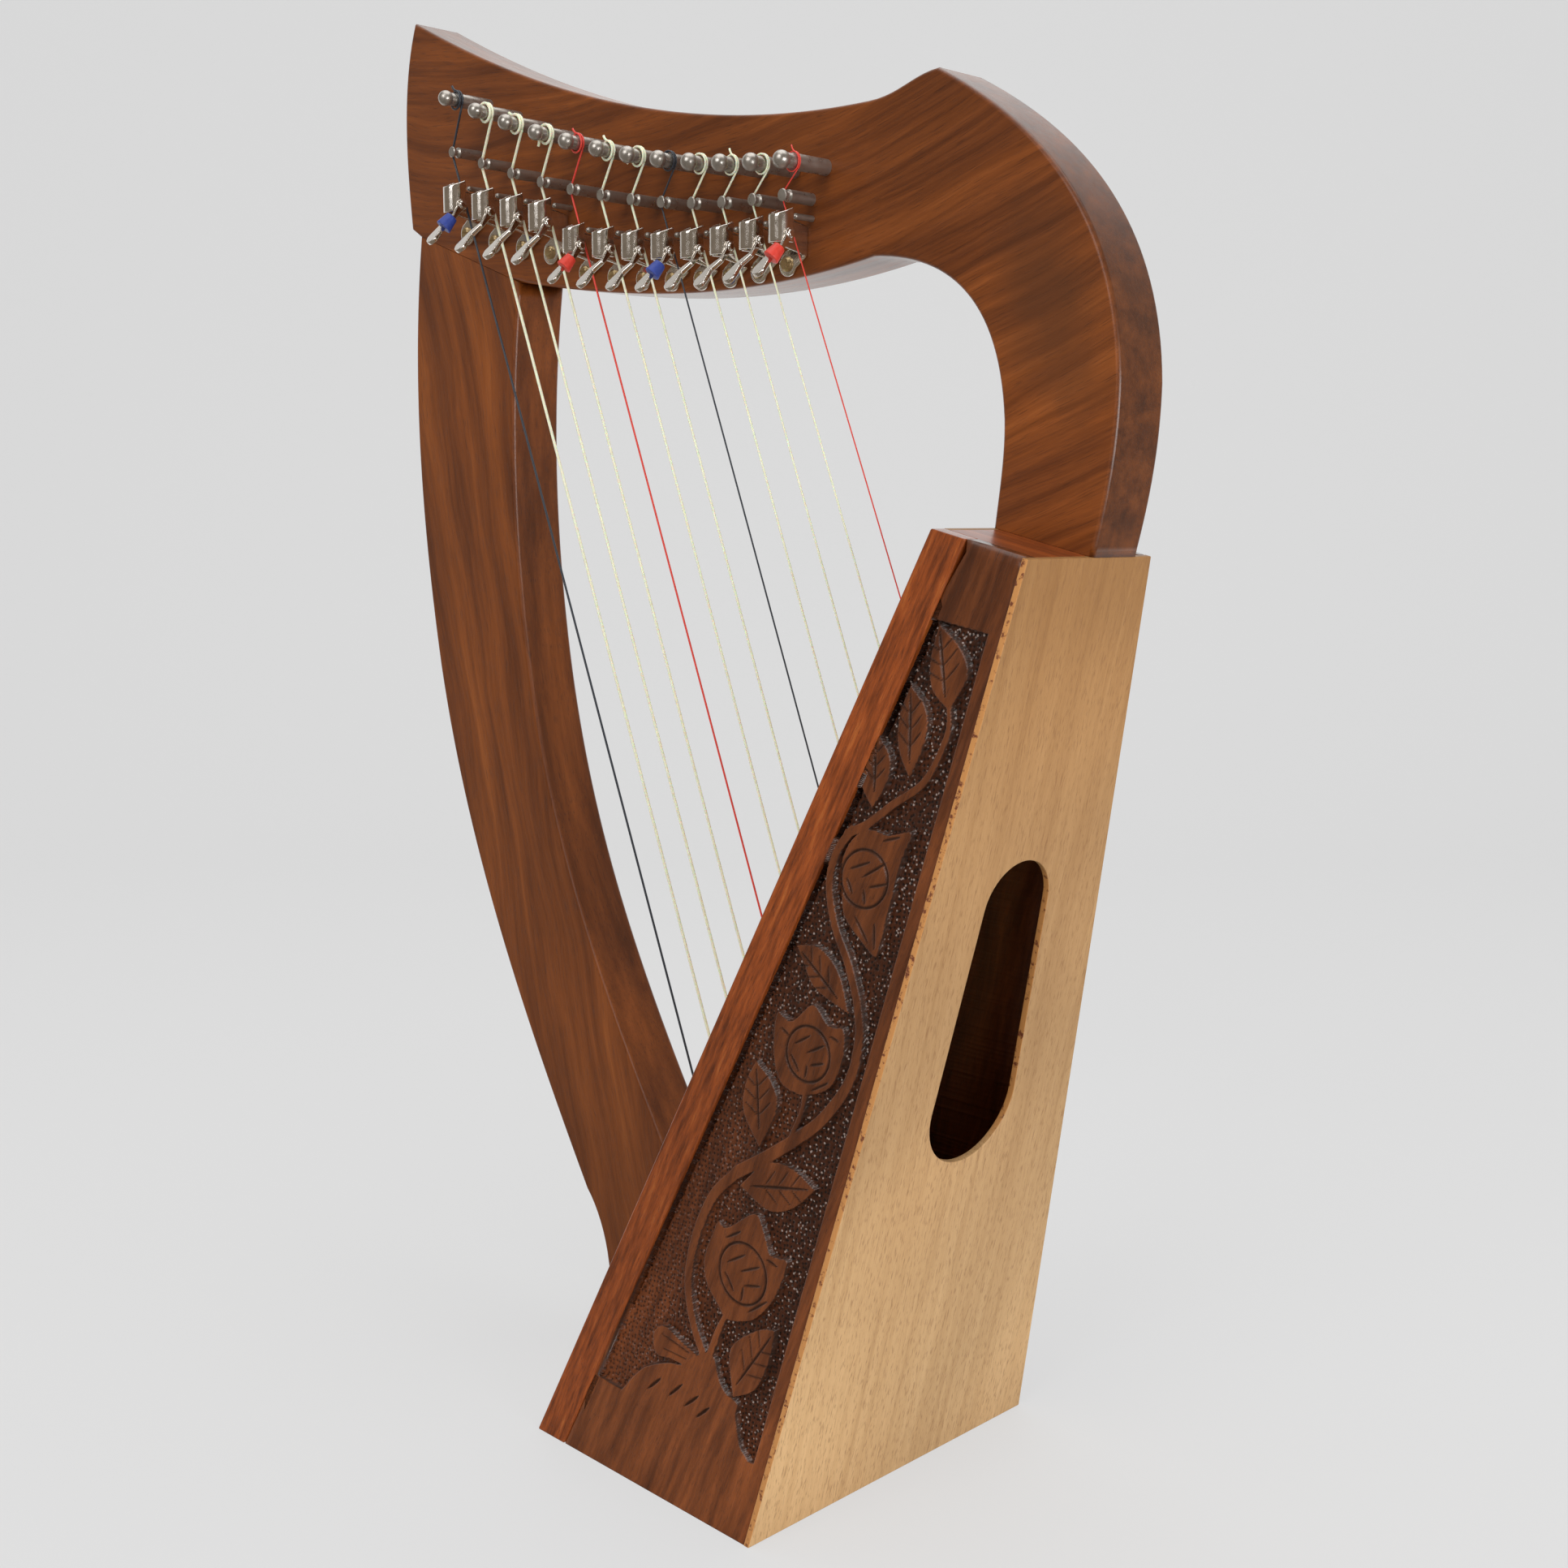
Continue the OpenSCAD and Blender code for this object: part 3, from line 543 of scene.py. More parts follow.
def to_segment(q, a, b):
    """Distance from each point to a segment, and the share along it."""
    d = b - a
    t = np.clip(((q - a) @ d) / max(d @ d, 1e-9), 0, 1)
    return np.linalg.norm(q - a - t[:, None] * d, axis=1), t


def inside(q, ring, reach=4.0):
    """Signed distance to a closed outline, positive inside. Points further out than reach stay at
    -reach."""
    out = np.full(len(q), -reach)
    low, high = ring.min(0) - reach, ring.max(0) + reach
    near = np.flatnonzero(np.all((q > low) & (q < high), axis=1))
    p = q[near]
    best = np.full(len(p), 1e9)
    odd = np.zeros(len(p), bool)
    for a, b in zip(ring, np.roll(ring, -1, 0)):
        best = np.minimum(best, to_segment(p, a, b)[0])
        if a[1] != b[1]:
            cross = (a[1] > p[:, 1]) != (b[1] > p[:, 1])
            odd ^= cross & (p[:, 0] < (b[0] - a[0]) * (p[:, 1] - a[1]) / (b[1] - a[1]) + a[0])
    out[near] = np.maximum(np.where(odd, best, -best), -reach)
    return out


def along(q, line, reach=8.0):
    """Distance to an open line and the share along it, for points within reach."""
    dist, share = np.full(len(q), reach), np.zeros(len(q))
    low, high = line.min(0) - reach, line.max(0) + reach
    near = np.flatnonzero(np.all((q > low) & (q < high), axis=1))
    p = q[near]
    for k, (a, b) in enumerate(zip(line[:-1], line[1:])):
        d, t = to_segment(p, a, b)
        closer = d < dist[near]
        dist[near[closer]] = d[closer]
        share[near[closer]] = (k + t[closer]) / (len(line) - 1)
    return dist, share


def rise(d, width):
    """A smooth step from 0 to 1 over a width."""
    t = np.clip(d / width, 0, 1)
    return t * t * (3 - 2 * t)


class Carving:
    """What is carved at points (x, z): the height of the raised shapes, and the depth of the cuts."""

    def __init__(self, q):
        self.q = q
        self.top = np.full(len(q), -9.0)
        self.cuts = np.zeros(len(q))

    def gouge(self, depth):
        self.cuts = np.maximum(self.cuts, depth)

    def cut(self, a, b, width, deep):
        """A gouge from a to b that thins out at its ends."""
        d, t = along(self.q, np.array([a, b], float), 2.5)
        taper = np.sqrt(np.clip(4 * t * (1 - t), 0.08, 1))
        self.gouge(deep * np.clip(1 - d / (width * taper), 0, 1))

    def lay(self, shape, slope=0.6, crown=0.0):
        """A raised shape, given by its signed distance, with a steep rim and a crowned middle."""
        raised = CARVED * rise(shape, slope) + crown * rise(shape - 0.4, 3.5)
        self.top = np.maximum(self.top, raised - CARVED)

    def leaf(self, tip, right_1, right_2, base, left_1, left_2, root):
        """A leaf with a midrib and three pairs of veins."""
        ring = np.vstack([spline((tip, right_1, right_2, base))[:-1],
                          spline((base, left_2, left_1, tip))[:-1]])
        self.lay(inside(self.q, ring), crown=0.1)
        tip, root = np.array(tip, float), np.array(root, float)
        d = tip - root
        side = np.array([-d[1], d[0]]) / np.linalg.norm(d)
        half = np.abs((ring - root) @ side).max()
        self.cut(root, root + d * 0.86, width=0.75, deep=0.75)
        for t in (0.22, 0.42, 0.62):
            foot = root + d * t
            for w in (-1, 1):
                end = foot + d * 0.17 + side * w * half * 0.62
                self.cut(foot + side * w * 0.6, end, width=0.55, deep=0.5)

    def stem(self, start_width, end_width, line):
        d, t = along(self.q, spline(line))
        self.lay((start_width + (end_width - start_width) * t) / 2 - d, slope=0.8, crown=0.12)

    def rose(self, petals, heart, strokes):
        """A rose with a ring cut round its heart."""
        self.lay(inside(self.q, spline(petals, True, 6)))
        cx, cz, rx, rz = heart
        r = np.hypot((self.q[:, 0] - cx) / rx, (self.q[:, 1] - cz) / rz)
        width = deep = 0.75
        self.gouge(deep * np.clip(1 - np.abs(r - 1) * rx / width, 0, 1))
        for a, b in strokes:
            self.cut(a, b, width=0.75, deep=0.65)

    def sprig(self):
        """The leaf at the vine's low end, with two cuts along it."""
        self.lay(inside(self.q, spline(SPRIG, True)))
        self.cut((22, 56), (6, 58.5), width=0.6, deep=0.5)
        self.cut((20, 53.5), (8, 53.5), width=0.5, deep=0.4)


def pits(q, pitch=1.85, size=0.60):
    """How deep each point lies in a round pit. Each cell of a grid has one, moved by a hash of the cell."""
    cell = np.floor(q / pitch)
    deepest = np.zeros(len(q))
    for dx in (-1, 0, 1):
        for dz in (-1, 0, 1):
            c = cell + (dx, dz)
            h = np.sin(c @ np.array([12.9898, 78.233])) * 43758.5453
            shift = np.stack([h - np.floor(h), h * 1.7 - np.floor(h * 1.7)], 1)
            d = np.linalg.norm(q - (c + 0.2 + 0.6 * shift) * pitch, axis=1)
            deepest = np.maximum(deepest, np.exp(-(d / size) ** 2))
    return deepest


def relief(q):
    """The carved surface at points (x, z): its height, and how much of each point is punched ground,
    cut and pit."""
    field = inside(q, np.array(FIELD, float))
    mound = inside(q, spline(MOUND, True, 5))
    sunk = rise(np.minimum(field, -mound), 0.7)
    carving = Carving(q)
    for leaf in LEAVES:
        carving.leaf(*leaf)
    carving.sprig()
    for stem in STEMS:
        carving.stem(*stem)
    for rose in ROSES:
        carving.rose(*rose)
    for a, b in DASHES:
        carving.cut(a, b, width=0.8, deep=0.9)
    ground = np.clip(sunk * np.clip((-carving.top - 0.25) / 0.7, 0, 1), 0, 1)
    raised = np.clip(carving.top + CARVED, 0, None) * rise(sunk, 0.2)
    height = np.where(sunk > 0, raised - CARVED * sunk, 0)
    pit = pits(q)
    highest, pit_depth = 0.12, 0.6
    height = np.minimum(height, highest) - carving.cuts - pit_depth * pit * ground
    return height, ground, np.clip(carving.cuts / 0.5, 0, 1), pit


def beside(low, high, z, margin):
    """The x at height z on the field's edge from low to high, moved out by a margin."""
    return low[0] + margin + (z - low[1]) * ((high[0] - low[0]) / (high[1] - low[1]))


def panel_rows():
    """Rows of points up a side panel, close together only over the carving."""
    fine, eased, plain = 0.46, 0.35, 2.5
    low, high = 24, 326
    low_front, high_front, high_back, low_back, _ = FIELD
    rows = []
    for z in [0, 0.4, 8, 16, *np.arange(low + 0.5, high - 0.4, fine), 328, 331]:
        a = front_at(z)[0] + EDGE / FRONT.z
        b = back_at(z)[0] - PLATE / BACK_COS
        xs = [a, a + eased, a + plain]
        if low < z < high:
            start, stop = beside(low_front, high_front, z, -1.8), beside(low_back, high_back, z, 2.0)
            xs += list(np.linspace(start, stop, max(int((stop - start) / fine), 8)))
        rows.append([(x, z) for x in xs + [b - plain, b - eased, b]])
    for drop in (4.0, 0.0):
        a = [at + EDGE * reach for at, reach in zip(BOX_FRONT, FRONT_REACH)]
        b = [at + PLATE * reach for at, reach in zip(BOX_BACK, BACK_REACH)]
        rows.append([(a[0] + (b[0] - a[0]) * t, a[1] - drop + (b[1] - a[1]) * t)
                     for t in (0, 0.02, 0.12, 0.5, 0.88, 0.98, 1)])
    return rows


def stitched(a, b, start_a, start_b):
    """Triangles between two rows of points, given the number of each row's first vertex."""
    faces = []
    i = j = 0
    while i < len(a) - 1 or j < len(b) - 1:
        share_a = (a[i + 1][0] - a[0][0]) / (a[-1][0] - a[0][0]) if i < len(a) - 1 else 2
        share_b = (b[j + 1][0] - b[0][0]) / (b[-1][0] - b[0][0]) if j < len(b) - 1 else 2
        if share_a <= share_b:
            faces.append((start_a + i, start_a + i + 1, start_b + j))
            i += 1
        else:
            faces.append((start_a + i, start_b + j + 1, start_b + j))
            j += 1
    return faces


def carved_panel(name, side, node, shader):
    """A side panel with its carved vine; side is -1 for the left and 1 for the right."""
    rows = panel_rows()
    q = np.array([p for row in rows for p in row], float)
    height, ground, cuts, pit = relief(q)
    start = np.cumsum([0] + [len(r) for r in rows]).tolist()
    rims = [(start[k], start[k + 1] - 1) for k in range(len(rows))]
    edge_drop = 0.3  # the front and back edges are eased
    for rim in rims:
        height[list(rim)] -= edge_drop
    half = HALF_FOOT - TAPER * q[:, 1] - (PROUD - height) * math.sqrt(1 + TAPER ** 2)
    verts = [(x, side * y, z) for (x, z), y in zip(q.tolist(), half.tolist())]
    faces = []
    for k in range(len(rows) - 1):
        faces += stitched(rows[k], rows[k + 1], start[k], start[k + 1])
    # inner face and edges
    n = len(verts)
    for rim in rims:
        for i in rim:
            x, y, z = verts[i]
            verts.append((x, y - side * SIDE_T, z))
    for k in range(len(rows) - 1):
        a, b, c, d = n + 2 * k, n + 2 * k + 1, n + 2 * k + 3, n + 2 * k + 2
        faces.append((a, d, c, b))
        faces.append((start[k], start[k + 1], d, a))
        faces.append((start[k + 1] - 1, b, c, start[k + 2] - 1))
    last = len(rows) - 1
    faces.append((n, n + 1, *reversed(range(start[0], start[1]))))
    faces.append((*range(start[last], start[last + 1]), n + 2 * last + 1, n + 2 * last))
    if side > 0:
        faces = [f[::-1] for f in faces]
    o = add(name, verts, faces, shader.mat, slot="carved_walnut", replaces=(node,))
    for key, values in (("ground", ground), ("cut", cuts), ("pit", pit)):
        data = np.zeros(len(verts), np.float32)
        data[:len(q)] = values
        o.data.attributes.new(key, "FLOAT", "POINT").data.foreach_set("value", data)


def panel_tone_and_painted_light(s, colour):
    """The carving's colour: painted shade in the pits and cuts, painted light towards the panel's foot, a
    sunk ground with painted grey glints that deepens away from the panel's low front corner, and a painted
    shadow line round the raised shapes."""
    # painted shade for the cuts and pits, and a painted shadow line round the raised shapes
    painted_cut_shade, painted_pit_shade, painted_shadow_line = (0.012, 0.005, 0.003), (0.008, 0.004, 0.003), (0.020, 0.008, 0.005)
    painted_glint_tone = (0.42, 0.34, 0.30)
    ground, cut, pit = s.attribute("ground"), s.attribute("cut"), s.attribute("pit")
    x, z = s.dot(X), s.dot(Z)
    lean = s.span(s.calc("MULTIPLY_ADD", z, -0.44, x), -0.034, 0.010)
    deep = s.calc("MAXIMUM", lean, s.span(z, 0.11, 0.21))
    shade = s.mix(deep, (0.86, 0.80, 0.76), (0.40, 0.36, 0.37))
    # painted light: the panel is brightened up to 1.5 times towards its foot
    colour = s.dim(colour, s.span(z, 0.03, 0.20, 1.5, 1.0))
    colour = s.mix(ground, colour, s.mix(1.0, colour, shade, "MULTIPLY"))
    # painted highlight: small grey glints scattered over the sunk ground
    glint = s.times(s.span(s.cells(scale=600), 0.17, 0.30, 1, 0), ground)
    colour = s.mix(s.times(glint, s.span(deep, 0, 1, 0.12, 0.75)), colour, painted_glint_tone)
    # painted shade: the pits are darkened almost to black
    dot = s.times(s.span(pit, 0.30, 0.75), ground)
    colour = s.mix(s.times(dot, s.span(deep, 0, 1, 0.7, 0.95)), colour, painted_pit_shade)
    # painted shadow: a dark line along the ground's edge round the raised shapes
    wall = s.times(s.span(ground, 0.02, 0.25), s.span(ground, 0.45, 0.95, 1, 0))
    colour = s.mix(s.times(wall, 0.75), colour, painted_shadow_line)
    # painted shade: the cuts are darkened almost to black
    return s.mix(s.times(cut, 0.85), colour, painted_cut_shade)


# ------------------------------------------------------------------ strings

COUNT = 12
GROOVE_Y, COIL_Y = 13.0, 16.0  # how far from the neck's face a string crosses its bridge pin and is wound
PIN_R, GROOVE_R = 3.0, 1.35  # radii of a tuning pin and of a bridge pin's groove
BASS, TREBLE = 1.25, 0.65  # string diameters
GROMMET_RIM = 0.9  # height of a grommet's rim over the soundboard
FOOT_LOW, FOOT_STEP = 74, 20.1  # height of the bass string's hole, and the step to the next one


def bridge(i):
    """The bridge pin of string i, which counts from 0 in the bass. The pins lie on a parabola."""
    return Vector((-184 + 21.12 * i - 0.272 * i * i, 0, 506.6 - 7.593 * i + 0.3506 * i * i))


def pin(i):
    """The tuning pin of string i, above its bridge pin and closer to it towards the treble."""
    b = bridge(i)
    return Vector((b.x + 7.1, 0, b.z + 19.6 - 0.86 * i))


def gauge(i):
    """A string's radius."""
    return (BASS + (TREBLE - BASS) * i / (COUNT - 1)) / 2


def foot(i):
    """Where a string meets the soundbox's front plane."""
    z = FOOT_LOW + FOOT_STEP * i
    return Vector((FOOT_FRONT + z * FRONT.x / FRONT.z, 0, z))


def tangents(i):
    """Directions of string i below and above its bridge pin, and its bend radii."""
    r = gauge(i)
    turn, wind = GROOVE_R + r + 0.08, PIN_R + 0.05 + r
    below = (bridge(i) - foot(i)).normalized()
    v = pin(i) - bridge(i)
    a = -math.asin((turn + wind) / v.length)
    above = Vector((v.x * math.cos(a) - v.z * math.sin(a), 0, v.x * math.sin(a) + v.z * math.cos(a)))
    return below, above.normalized(), turn, wind


def left_of(d):
    return Vector((-d.z, 0, d.x))


def string_run(i):
    """The path of string i from its tuning pin over the bridge pin and its grommet to its toggle."""
    below, above, turn, wind = tangents(i)
    hub = bridge(i) + Vector((0, -GROOVE_Y, 0))
    start = pin(i) + Vector((0, -COIL_Y, 0)) - left_of(above) * wind
    path = [start]
    end = hub + left_of(above) * turn
    path += [start.lerp(end, t) for t in (0.35, 0.7)]
    bends = 6
    for k in range(bends + 1):
        d = (above * (1 - k / bends) + below * (k / bends)).normalized()
        path.append(hub + left_of(d) * turn)
    low = foot(i) + OUT * (PLATE + GROMMET_RIM + gauge(i) + 0.2)
    top = path[-1]
    path += [top.lerp(low, t) for t in (0.2, 0.4, 0.6, 0.8, 0.97)]
    path += [low + (low - top).normalized() * 0.2 - OUT * 0.15, low - OUT * 1.2, foot(i) - OUT * 7]
    return path


def tuning_pin(number, shader):
    """A round pin turned down to a small ball at the string end, with a square drive at the far end."""
    hub, sides = pin(number - 1), 32
    reach, tail = 22.0, 36.5  # how far the shaft runs from the neck's face to either side
    shaft, ball, throat = 2.85, 3.15, 2.6
    drive, drive_half = 9.0, shaft * 0.74
    circle = [(math.cos(a), math.sin(a)) for a in (math.tau * k / sides for k in range(sides))]
    profile = [(ball * math.sin(a), -reach - ball * math.cos(a))
               for a in np.linspace(0.2, math.pi - 0.85, 11)]
    profile += [(throat, -reach + 2.3), (throat, -reach + 4.6), (shaft, -reach + 5.0),
                (shaft, tail - drive - 0.4)]
    verts = [(hub.x, -reach - ball, hub.z)]
    for r, y in profile:
        verts += [(hub.x + r * c, y, hub.z + r * s) for c, s in circle]
    for y, half in ((tail - drive, drive_half), (tail - 0.4, drive_half), (tail, drive_half - 0.4)):
        for c, s in circle:
            r = min(half / max(abs(c), abs(s)), shaft)
            verts.append((hub.x + c * r, y, hub.z + s * r))
    rings = (len(verts) - 1) // sides
    faces = [(0, 1 + (k + 1) % sides, 1 + k) for k in range(sides)]
    for q in range(rings - 1):
        for k in range(sides):
            a, b = 1 + q * sides + k, 1 + q * sides + (k + 1) % sides
            faces.append((a, b, b + sides, a + sides))
    faces.append(tuple(range(len(verts) - sides, len(verts))))
    name = f"tuning_pin_{number:02d}"
    o = add(f"pin_turned_{number:02d}", verts, faces, shader.mat, slot="pin_steel", body=name,
            replaces=(name,))
    face_out(o)
    weighted(o)


def sleeve(number, shader, slot):
    """The soft sleeve on a handle: the smooth outside of its CAD piece, closed over the handle."""
    name = f"lever_sleeve_{number:02d}"
    bm = bmesh.new()
    bm.from_mesh(NODES[name].data)
    bm.transform(NODES[name].matrix_world)
    hull = bmesh.ops.convex_hull(bm, input=bm.verts)
    within = {e for e in hull["geom_interior"] + hull["geom_unused"] if isinstance(e, bmesh.types.BMVert)}
    bmesh.ops.delete(bm, geom=list(within), context="VERTS")
    outer = {f for f in hull["geom"] if isinstance(f, bmesh.types.BMFace) and f.is_valid}
    bmesh.ops.delete(bm, geom=[f for f in bm.faces if f not in outer], context="FACES_ONLY")
    bm.verts.index_update()
    verts = [tuple(v.co / MM) for v in bm.verts]
    faces = [tuple(v.index for v in f.verts) for f in bm.faces]
    bm.free()
    o = add(f"sleeve_{number:02d}", verts, faces, shader.mat, slot=slot, body=f"lever_{number:02d}",
            replaces=(name,))
    melt(o, voxel=0.25, passes=14)


def coil(i, rng):
    """The turns of string i on its tuning pin, with the short tail left over."""
    _, above, _, wind = tangents(i)
    start = -left_of(above)
    first = math.atan2(start.z, start.x)
    turns = 1.3 + rng.random() * 0.6
    steps = int(turns * 20)
    pts = []
    for k in range(steps + 1):
        t = k / steps
        a = first + math.tau * turns * t
        y = -COIL_Y - t * turns * (2 * gauge(i) + 0.06)
        pts.append(pin(i) + Vector((math.cos(a) * wind, y, math.sin(a) * wind)))
    d = (pts[-1] - pts[-2]).normalized()
    last = pts[-1]
    lift = Vector((math.cos(a), 0, math.sin(a)))
    pts += [last + d * ahead + lift * up for ahead, up in ((0.7, 0.15), (1.5, 0.6), (2.2, 1.3))]
    return pts


# ------------------------------------------------------------------ the harp


def burl_and_painted_shade(s, colour):
    """A darker burl beside the elbow, a tone that deepens upwards, and painted shade on the rims that face
    the player's side.
    """
    across, centre_across, half_across = (0.92, 0, 0.39), 0.2766, 0.021
    along, centre_along, half_along = (-0.39, 0, 0.92), 0.3375, 0.038
    off = s.vector(s.times(s.calc("SUBTRACT", s.dot(across), centre_across), 1 / half_across), 0.0,
                   s.times(s.calc("SUBTRACT", s.dot(along), centre_along), 1 / half_along))
    n = s.tree.nodes.new("ShaderNodeVectorMath")
    n.operation = "LENGTH"
    s.put(n.inputs[0], off)
    wobble = s.calc("ADD", n.outputs["Value"], s.times(s.noise(scale=45, detail=3), 1.1))
    burl = s.span(wobble, 0.9, 1.8, 0.6, 0.0)
    low = s.span(s.dot(Z), 0.36, 0.47, 1.12, 0.94)
    # painted shade: faces turned towards the player (+X) are darkened to about half
    back = s.span(s.dot(X, s.normal()), 0.3, 0.9, 1.0, 0.52)
    burl_tone = (0.075, 0.026, 0.009)
    return s.mix(burl, s.dim(colour, s.times(low, back)), burl_tone)


def veneer_and_painted_shade(s, colour):
    """Shows the plies on the edges of a plate, with dark blotches, and darkens the face's colour upwards as
    painted shade.
    """
    ply, ply_dark, fleck_tone = (0.56, 0.25, 0.075), (0.17, 0.045, 0.018), (0.24, 0.11, 0.04)
    side = s.span(s.calc("ABSOLUTE", s.dot(Y, s.normal())), 0.5, 0.9)
    blot = s.span(s.noise(scale=420, detail=4, rough=0.65), 0.54, 0.64)
    fleck = s.span(s.noise(s.stretched(900, 1500, 170), detail=2), 0.54, 0.70, 0, 0.55)
    up = s.span(s.dot(Z), 0.04, 0.33)
    full, painted_top_shade = (1, 1, 1), (0.56, 0.44, 0.31)
    # painted shade: the face is darkened towards its top, where less light falls
    colour = s.mix(1.0, colour, s.mix(up, full, painted_top_shade), "MULTIPLY")
    colour = s.mix(fleck, colour, fleck_tone)
    return s.mix(side, colour, s.mix(blot, ply, ply_dark))


FRONT_GRAIN, BACK_GRAIN = (0.42, 0, 1), (0.235, 0, 1)  # up the soundboard and up the back plate
walnut_neck = wood("walnut_neck", X, WALNUT, rings=120, streaks=380, pores=0.38, gloss=0.38, coat=0.27,
                   wander=0.010, tint=burl_and_painted_shade, bow=(0.75, 0.17))
walnut_pillar = wood("walnut_pillar", (-0.22, 0, 1), WALNUT, rings=70, streaks=230, pores=0.38, gloss=0.38,
                     coat=0.27, wander=0.014, seed=5.0)
carved = wood("walnut_carved", (0.35, 0, 1), PANEL, rings=150, streaks=420, gloss=0.34, coat=0.35,
              seed=9.0, tint=panel_tone_and_painted_light)
batten_wood = wood("batten_wood", FRONT_GRAIN, BATTEN, rings=420, streaks=900, gloss=0.36, coat=0.3,
                   wander=0.002, seed=2.0)
maple = wood("rib_maple", FRONT_GRAIN, PALE, rings=200, streaks=600, pores=0.1, seed=4.0)
lining = wood("lining_wood", Z, PALE, rings=120, streaks=400, pores=0.15, seed=6.0)
ply_back = wood("ply_back", BACK_GRAIN, PALE, rings=300, streaks=900, pores=0.25, gloss=0.5, coat=0.08,
                wander=0.002, seed=1.0, tint=veneer_and_painted_shade)
ply_front = wood("ply_front", FRONT_GRAIN, PALE, rings=300, streaks=900, pores=0.2, gloss=0.5, coat=0.08,
                 wander=0.002, seed=8.0, tint=veneer_and_painted_shade)
cap_wood = wood("top_board_wood", (1, 0, -0.2), BATTEN, rings=200, streaks=500, gloss=0.4, seed=3.0)
base_wood = wood("base_board_wood", X, PANEL, rings=200, streaks=500, seed=12.0)

nickel = metal("nickel", (0.83, 0.79, 0.74), 0.12)
pin_steel = metal("pin_steel", (0.50, 0.47, 0.43), 0.33, scratch=0.15, metallic=0.88)
screw_steel = metal("screw_steel", (0.55, 0.54, 0.52), 0.3)
brass = metal("brass", (0.66, 0.50, 0.27), 0.3)
nylon = plastic("nylon_natural", (0.93, 0.91, 0.68), 0.35, soft=0.3)
nylon_blue = plastic("nylon_blue", (0.035, 0.042, 0.055), 0.35)
nylon_red = plastic("nylon_red", (0.80, 0.060, 0.040), 0.35, soft=0.1)
sleeve_blue = plastic("sleeve_blue", (0.030, 0.060, 0.320), 0.42)
sleeve_red = plastic("sleeve_red", (0.700, 0.045, 0.025), 0.42)

slab("neck_plank", *neck(), "neck", walnut_neck)
slab("pillar_plank", *pillar(), "pillar", walnut_pillar)
carved_panel("carved_panel_left", -1, "side_panel_left", carved)
carved_panel("carved_panel_right", 1, "side_panel_right", carved)

dress(["back_plate"], ply_back, width=0.35)
dress(["soundboard"], ply_front, width=0.35)
dress(["front_batten_left", "front_batten_right"], batten_wood, width=0.6)
dress(["top_board"], cap_wood, width=0.4)
dress(["base_board"], base_wood, width=0.3)
dress(["string_rib", "inner_string_rib"], maple, width=0.4)
dress(["corner_linings", "back_braces", "pillar_dowels", "string_toggles"], lining, width=0.3)
dress(["neck_screws", "pillar_screws"], screw_steel, width=0.2)
dress(["string_grommets"], brass, width=0.15)
dress(["lever_screws"], brass, width=0.12)
dress(["bridge_pins", "fret_pins"], pin_steel, width=0.12)
dress(["lever_brackets"], nickel, voxel=0.30, passes=9)
for number in range(1, COUNT + 1):
    tuning_pin(number, pin_steel)
    dress([f"lever_{number:02d}"], nickel, voxel=0.20, passes=8)
for number in (1, 8):
    sleeve(number, sleeve_blue, "sleeve_blue")
for number in (5, 12):
    sleeve(number, sleeve_red, "sleeve_red")

rng = random.Random(7)
for label, shader, thin, members in (("natural", nylon, 1.0, (1, 2, 3, 5, 6, 8, 9, 10)),
                                     ("blue", nylon_blue, 0.75, (0, 7)), ("red", nylon_red, 0.75, (4, 11))):
    slot = f"nylon_{label}"
    runs = joined([tube(string_run(i), gauge(i) * thin) for i in members])
    add(f"string_runs_{label}", *runs, shader.mat, slot, replaces=(f"strings_{label}",))
    for i in members:
        add(f"string_coil_{i + 1:02d}", *tube(coil(i, rng), gauge(i) * thin, sides=10), shader.mat, slot,
            body=f"tuning_pin_{i + 1:02d}")

# ------------------------------------------------------------------ studio

CAMERA_AT, LENS = (0.4953, -0.4855, 0.3540), 42.58
CAMERA_DOWN, CAMERA_TURN = 8.209, 45.491  # degrees below the horizon, and round Z
AWAY = Vector((-0.713, 0.701, 0))  # from the camera over the floor
BACKGROUND = (0.716, 0.716, 0.716)


def backdrop():
    """A pale floor that curves up into a wall, square to the camera's view."""
    s = Shader("backdrop")
    n = s.noise(scale=3, detail=2)
    camera = s.tree.nodes.new("ShaderNodeLightPath").outputs["Is Camera Ray"]
    pale = s.ramp(n, (0.2, (0.70, 0.70, 0.70)), (0.8, (0.73, 0.73, 0.73)))
    s.set(Base_Color=s.mix(camera, pale, (0.17, 0.17, 0.17)), Roughness=0.9, Specular_IOR_Level=0.0,
          Emission_Color=(1, 1, 1), Emission_Strength=s.times(camera, 0.575))
    across = Vector((AWAY.y, -AWAY.x, 0))
    bend, radius = 1.2, 0.8
    profile = [(-2.5, 0), (bend, 0)]
    profile += [(bend + radius * math.sin(a), radius - radius * math.cos(a))
                for a in np.linspace(0.1, math.pi / 2, 14)]
    profile.append((bend + radius, 3.5))
    verts = [AWAY * d + across * w + Vector((0, 0, z)) for d, z in profile for w in (-4, 4)]
    faces = [(2 * k, 2 * k + 1, 2 * k + 3, 2 * k + 2) for k in range(len(profile) - 1)]
    mesh = bpy.data.meshes.new("backdrop")
    mesh.from_pydata([tuple(v) for v in verts], [], faces)
    mesh.shade_smooth()
    o = bpy.data.objects.new("backdrop", mesh)
    o.data.materials.append(s.mat)
    o.visible_glossy = False
    bpy.context.scene.collection.objects.link(o)


def light(name, place, aim, size, power):
    """A soft rectangular lamp, sized in metres."""
    data = bpy.data.lights.new(name, "AREA")
    data.shape, data.size, data.size_y = "RECTANGLE", size[0], size[1]
    data.energy = power
    o = bpy.data.objects.new(name, data)
    o.location = place
    o.rotation_euler = (Vector(aim) - Vector(place)).to_track_quat("-Z", "Y").to_euler()
    bpy.context.scene.collection.objects.link(o)


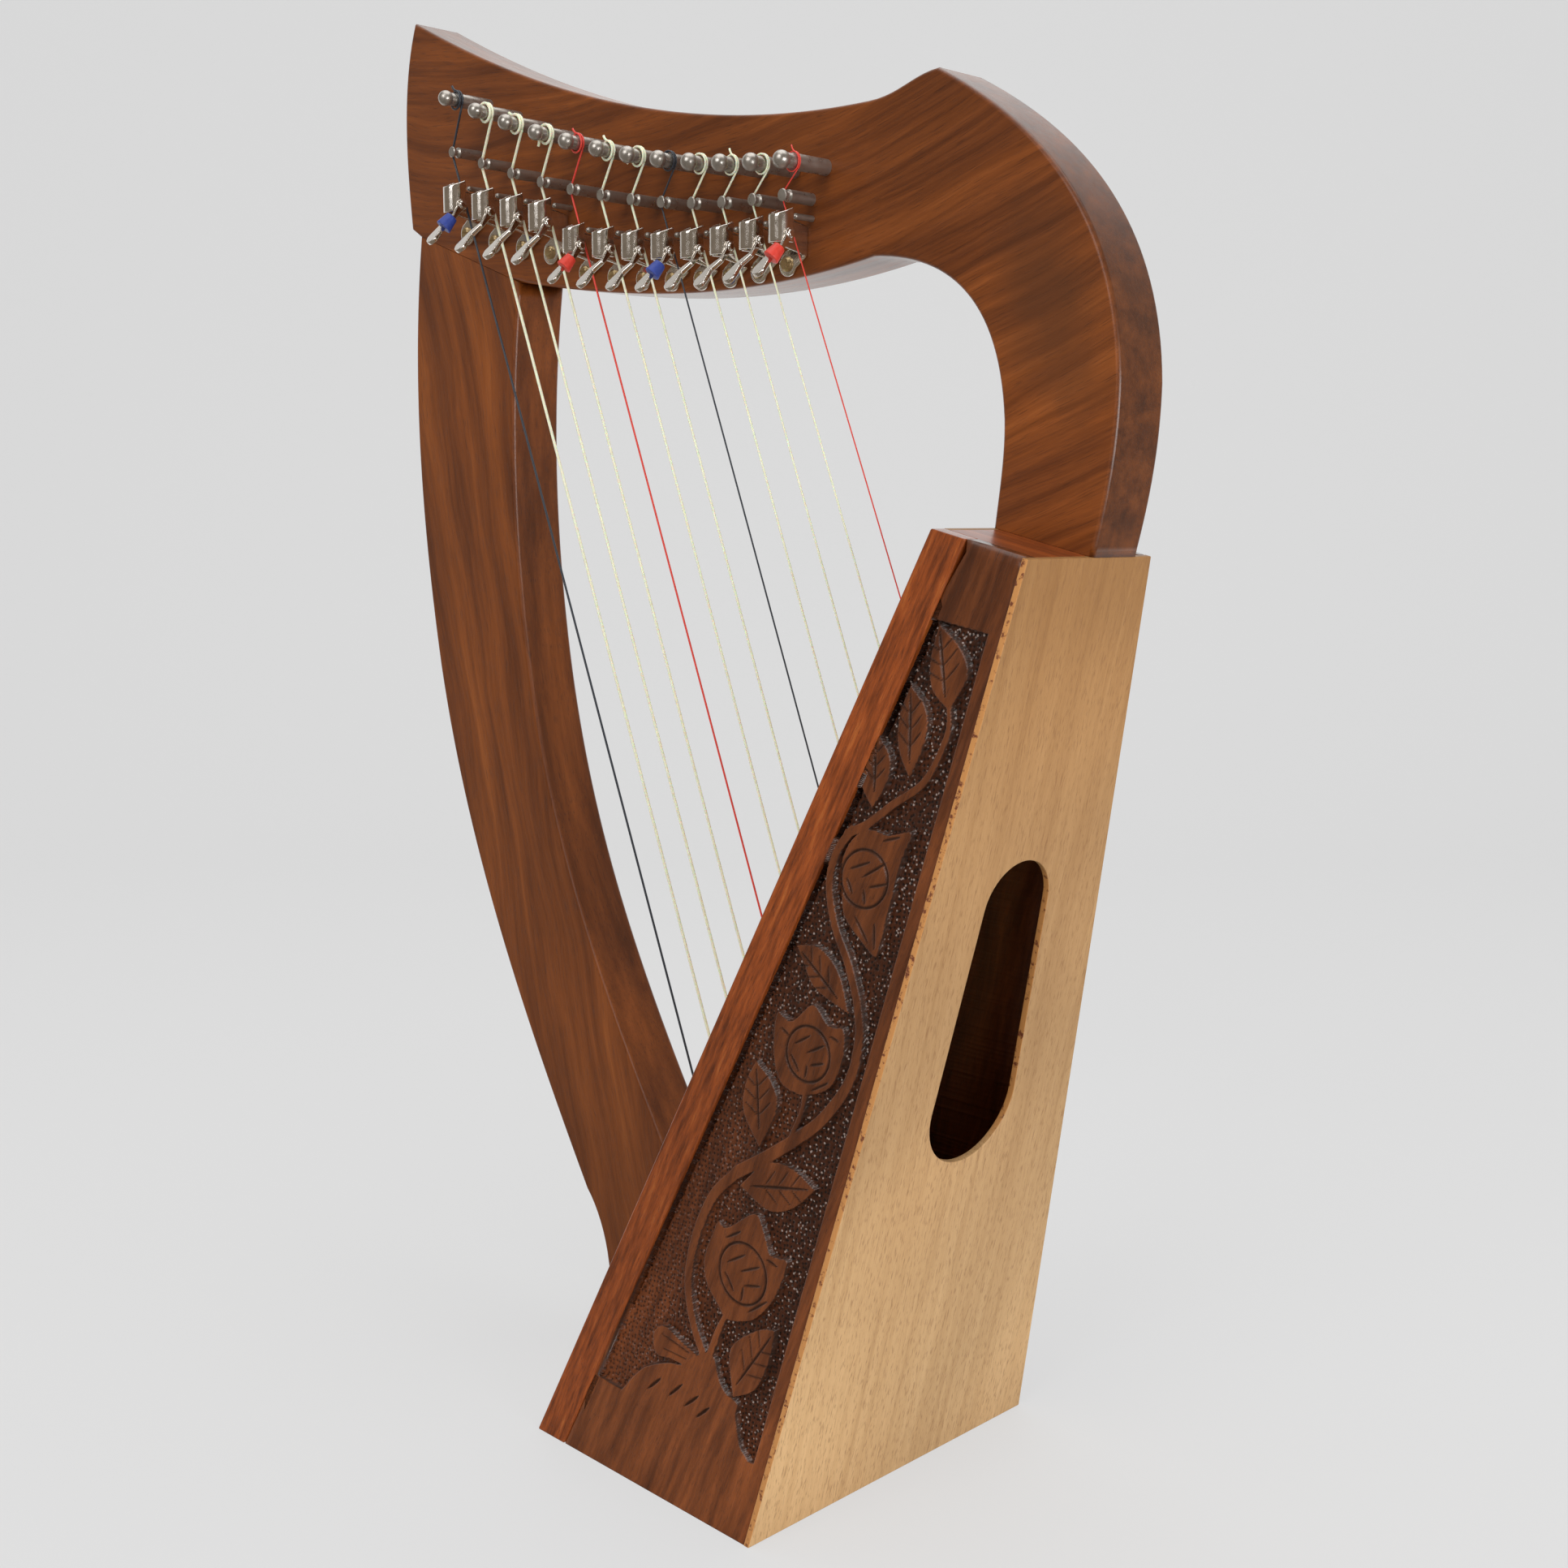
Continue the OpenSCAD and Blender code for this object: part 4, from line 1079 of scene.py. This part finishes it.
def mixed(tree, share, a, b):
    """A mix node from a to b, each a colour or a socket."""
    n = tree.nodes.new("ShaderNodeMix")
    n.data_type = "RGBA"
    tree.links.new(share, n.inputs[0])
    for socket, value in ((n.inputs[6], a), (n.inputs[7], b)):
        if isinstance(value, tuple):
            socket.default_value = (*value, 1)
        else:
            tree.links.new(value, socket)
    return n.outputs[2]


def surroundings():
    """A grey background to the camera, soft light all round, and to shiny things a white wall behind
    the harp and a dim brown room before it."""
    world = bpy.data.worlds.new("studio")
    world.use_nodes = True
    tree = world.node_tree
    new, link = tree.nodes.new, tree.links.new
    ray, place = new("ShaderNodeLightPath"), new("ShaderNodeTexCoord")
    facing = new("ShaderNodeVectorMath")
    facing.operation = "DOT_PRODUCT"
    facing.inputs[1].default_value = AWAY
    link(place.outputs["Generated"], facing.inputs[0])
    wall = new("ShaderNodeMapRange")
    wall.inputs["From Min"].default_value, wall.inputs["From Max"].default_value = 0.25, 0.75
    link(facing.outputs["Value"], wall.inputs["Value"])
    mirrored = mixed(tree, wall.outputs[0], (0.20, 0.165, 0.13), (0.95, 0.95, 0.94))
    soft = mixed(tree, ray.outputs["Is Glossy Ray"], (0.50, 0.50, 0.50), mirrored)
    seen = mixed(tree, ray.outputs["Is Camera Ray"], soft, BACKGROUND)
    link(seen, tree.nodes["Background"].inputs[0])
    bpy.context.scene.world = world


def studio():
    scene = bpy.context.scene
    surroundings()
    aim = (-0.03, 0, 0.30)
    light("key", (0.35, -1.5, 1.25), aim, (1.0, 1.0), 11)
    light("top", (0.0, 0.1, 1.7), aim, (1.4, 1.4), 10)
    light("fill", (1.35, -0.1, 0.30), (0.05, 0, 0.12), (0.9, 0.5), 9)
    scene.view_settings.view_transform = "Standard"
    camera = bpy.data.cameras.new("camera")
    camera.lens, camera.sensor_width = LENS, 36
    o = bpy.data.objects.new("camera", camera)
    o.location = CAMERA_AT
    o.rotation_euler = (math.radians(90 - CAMERA_DOWN), 0, math.radians(CAMERA_TURN))
    scene.collection.objects.link(o)
    scene.camera = o


backdrop()
studio()
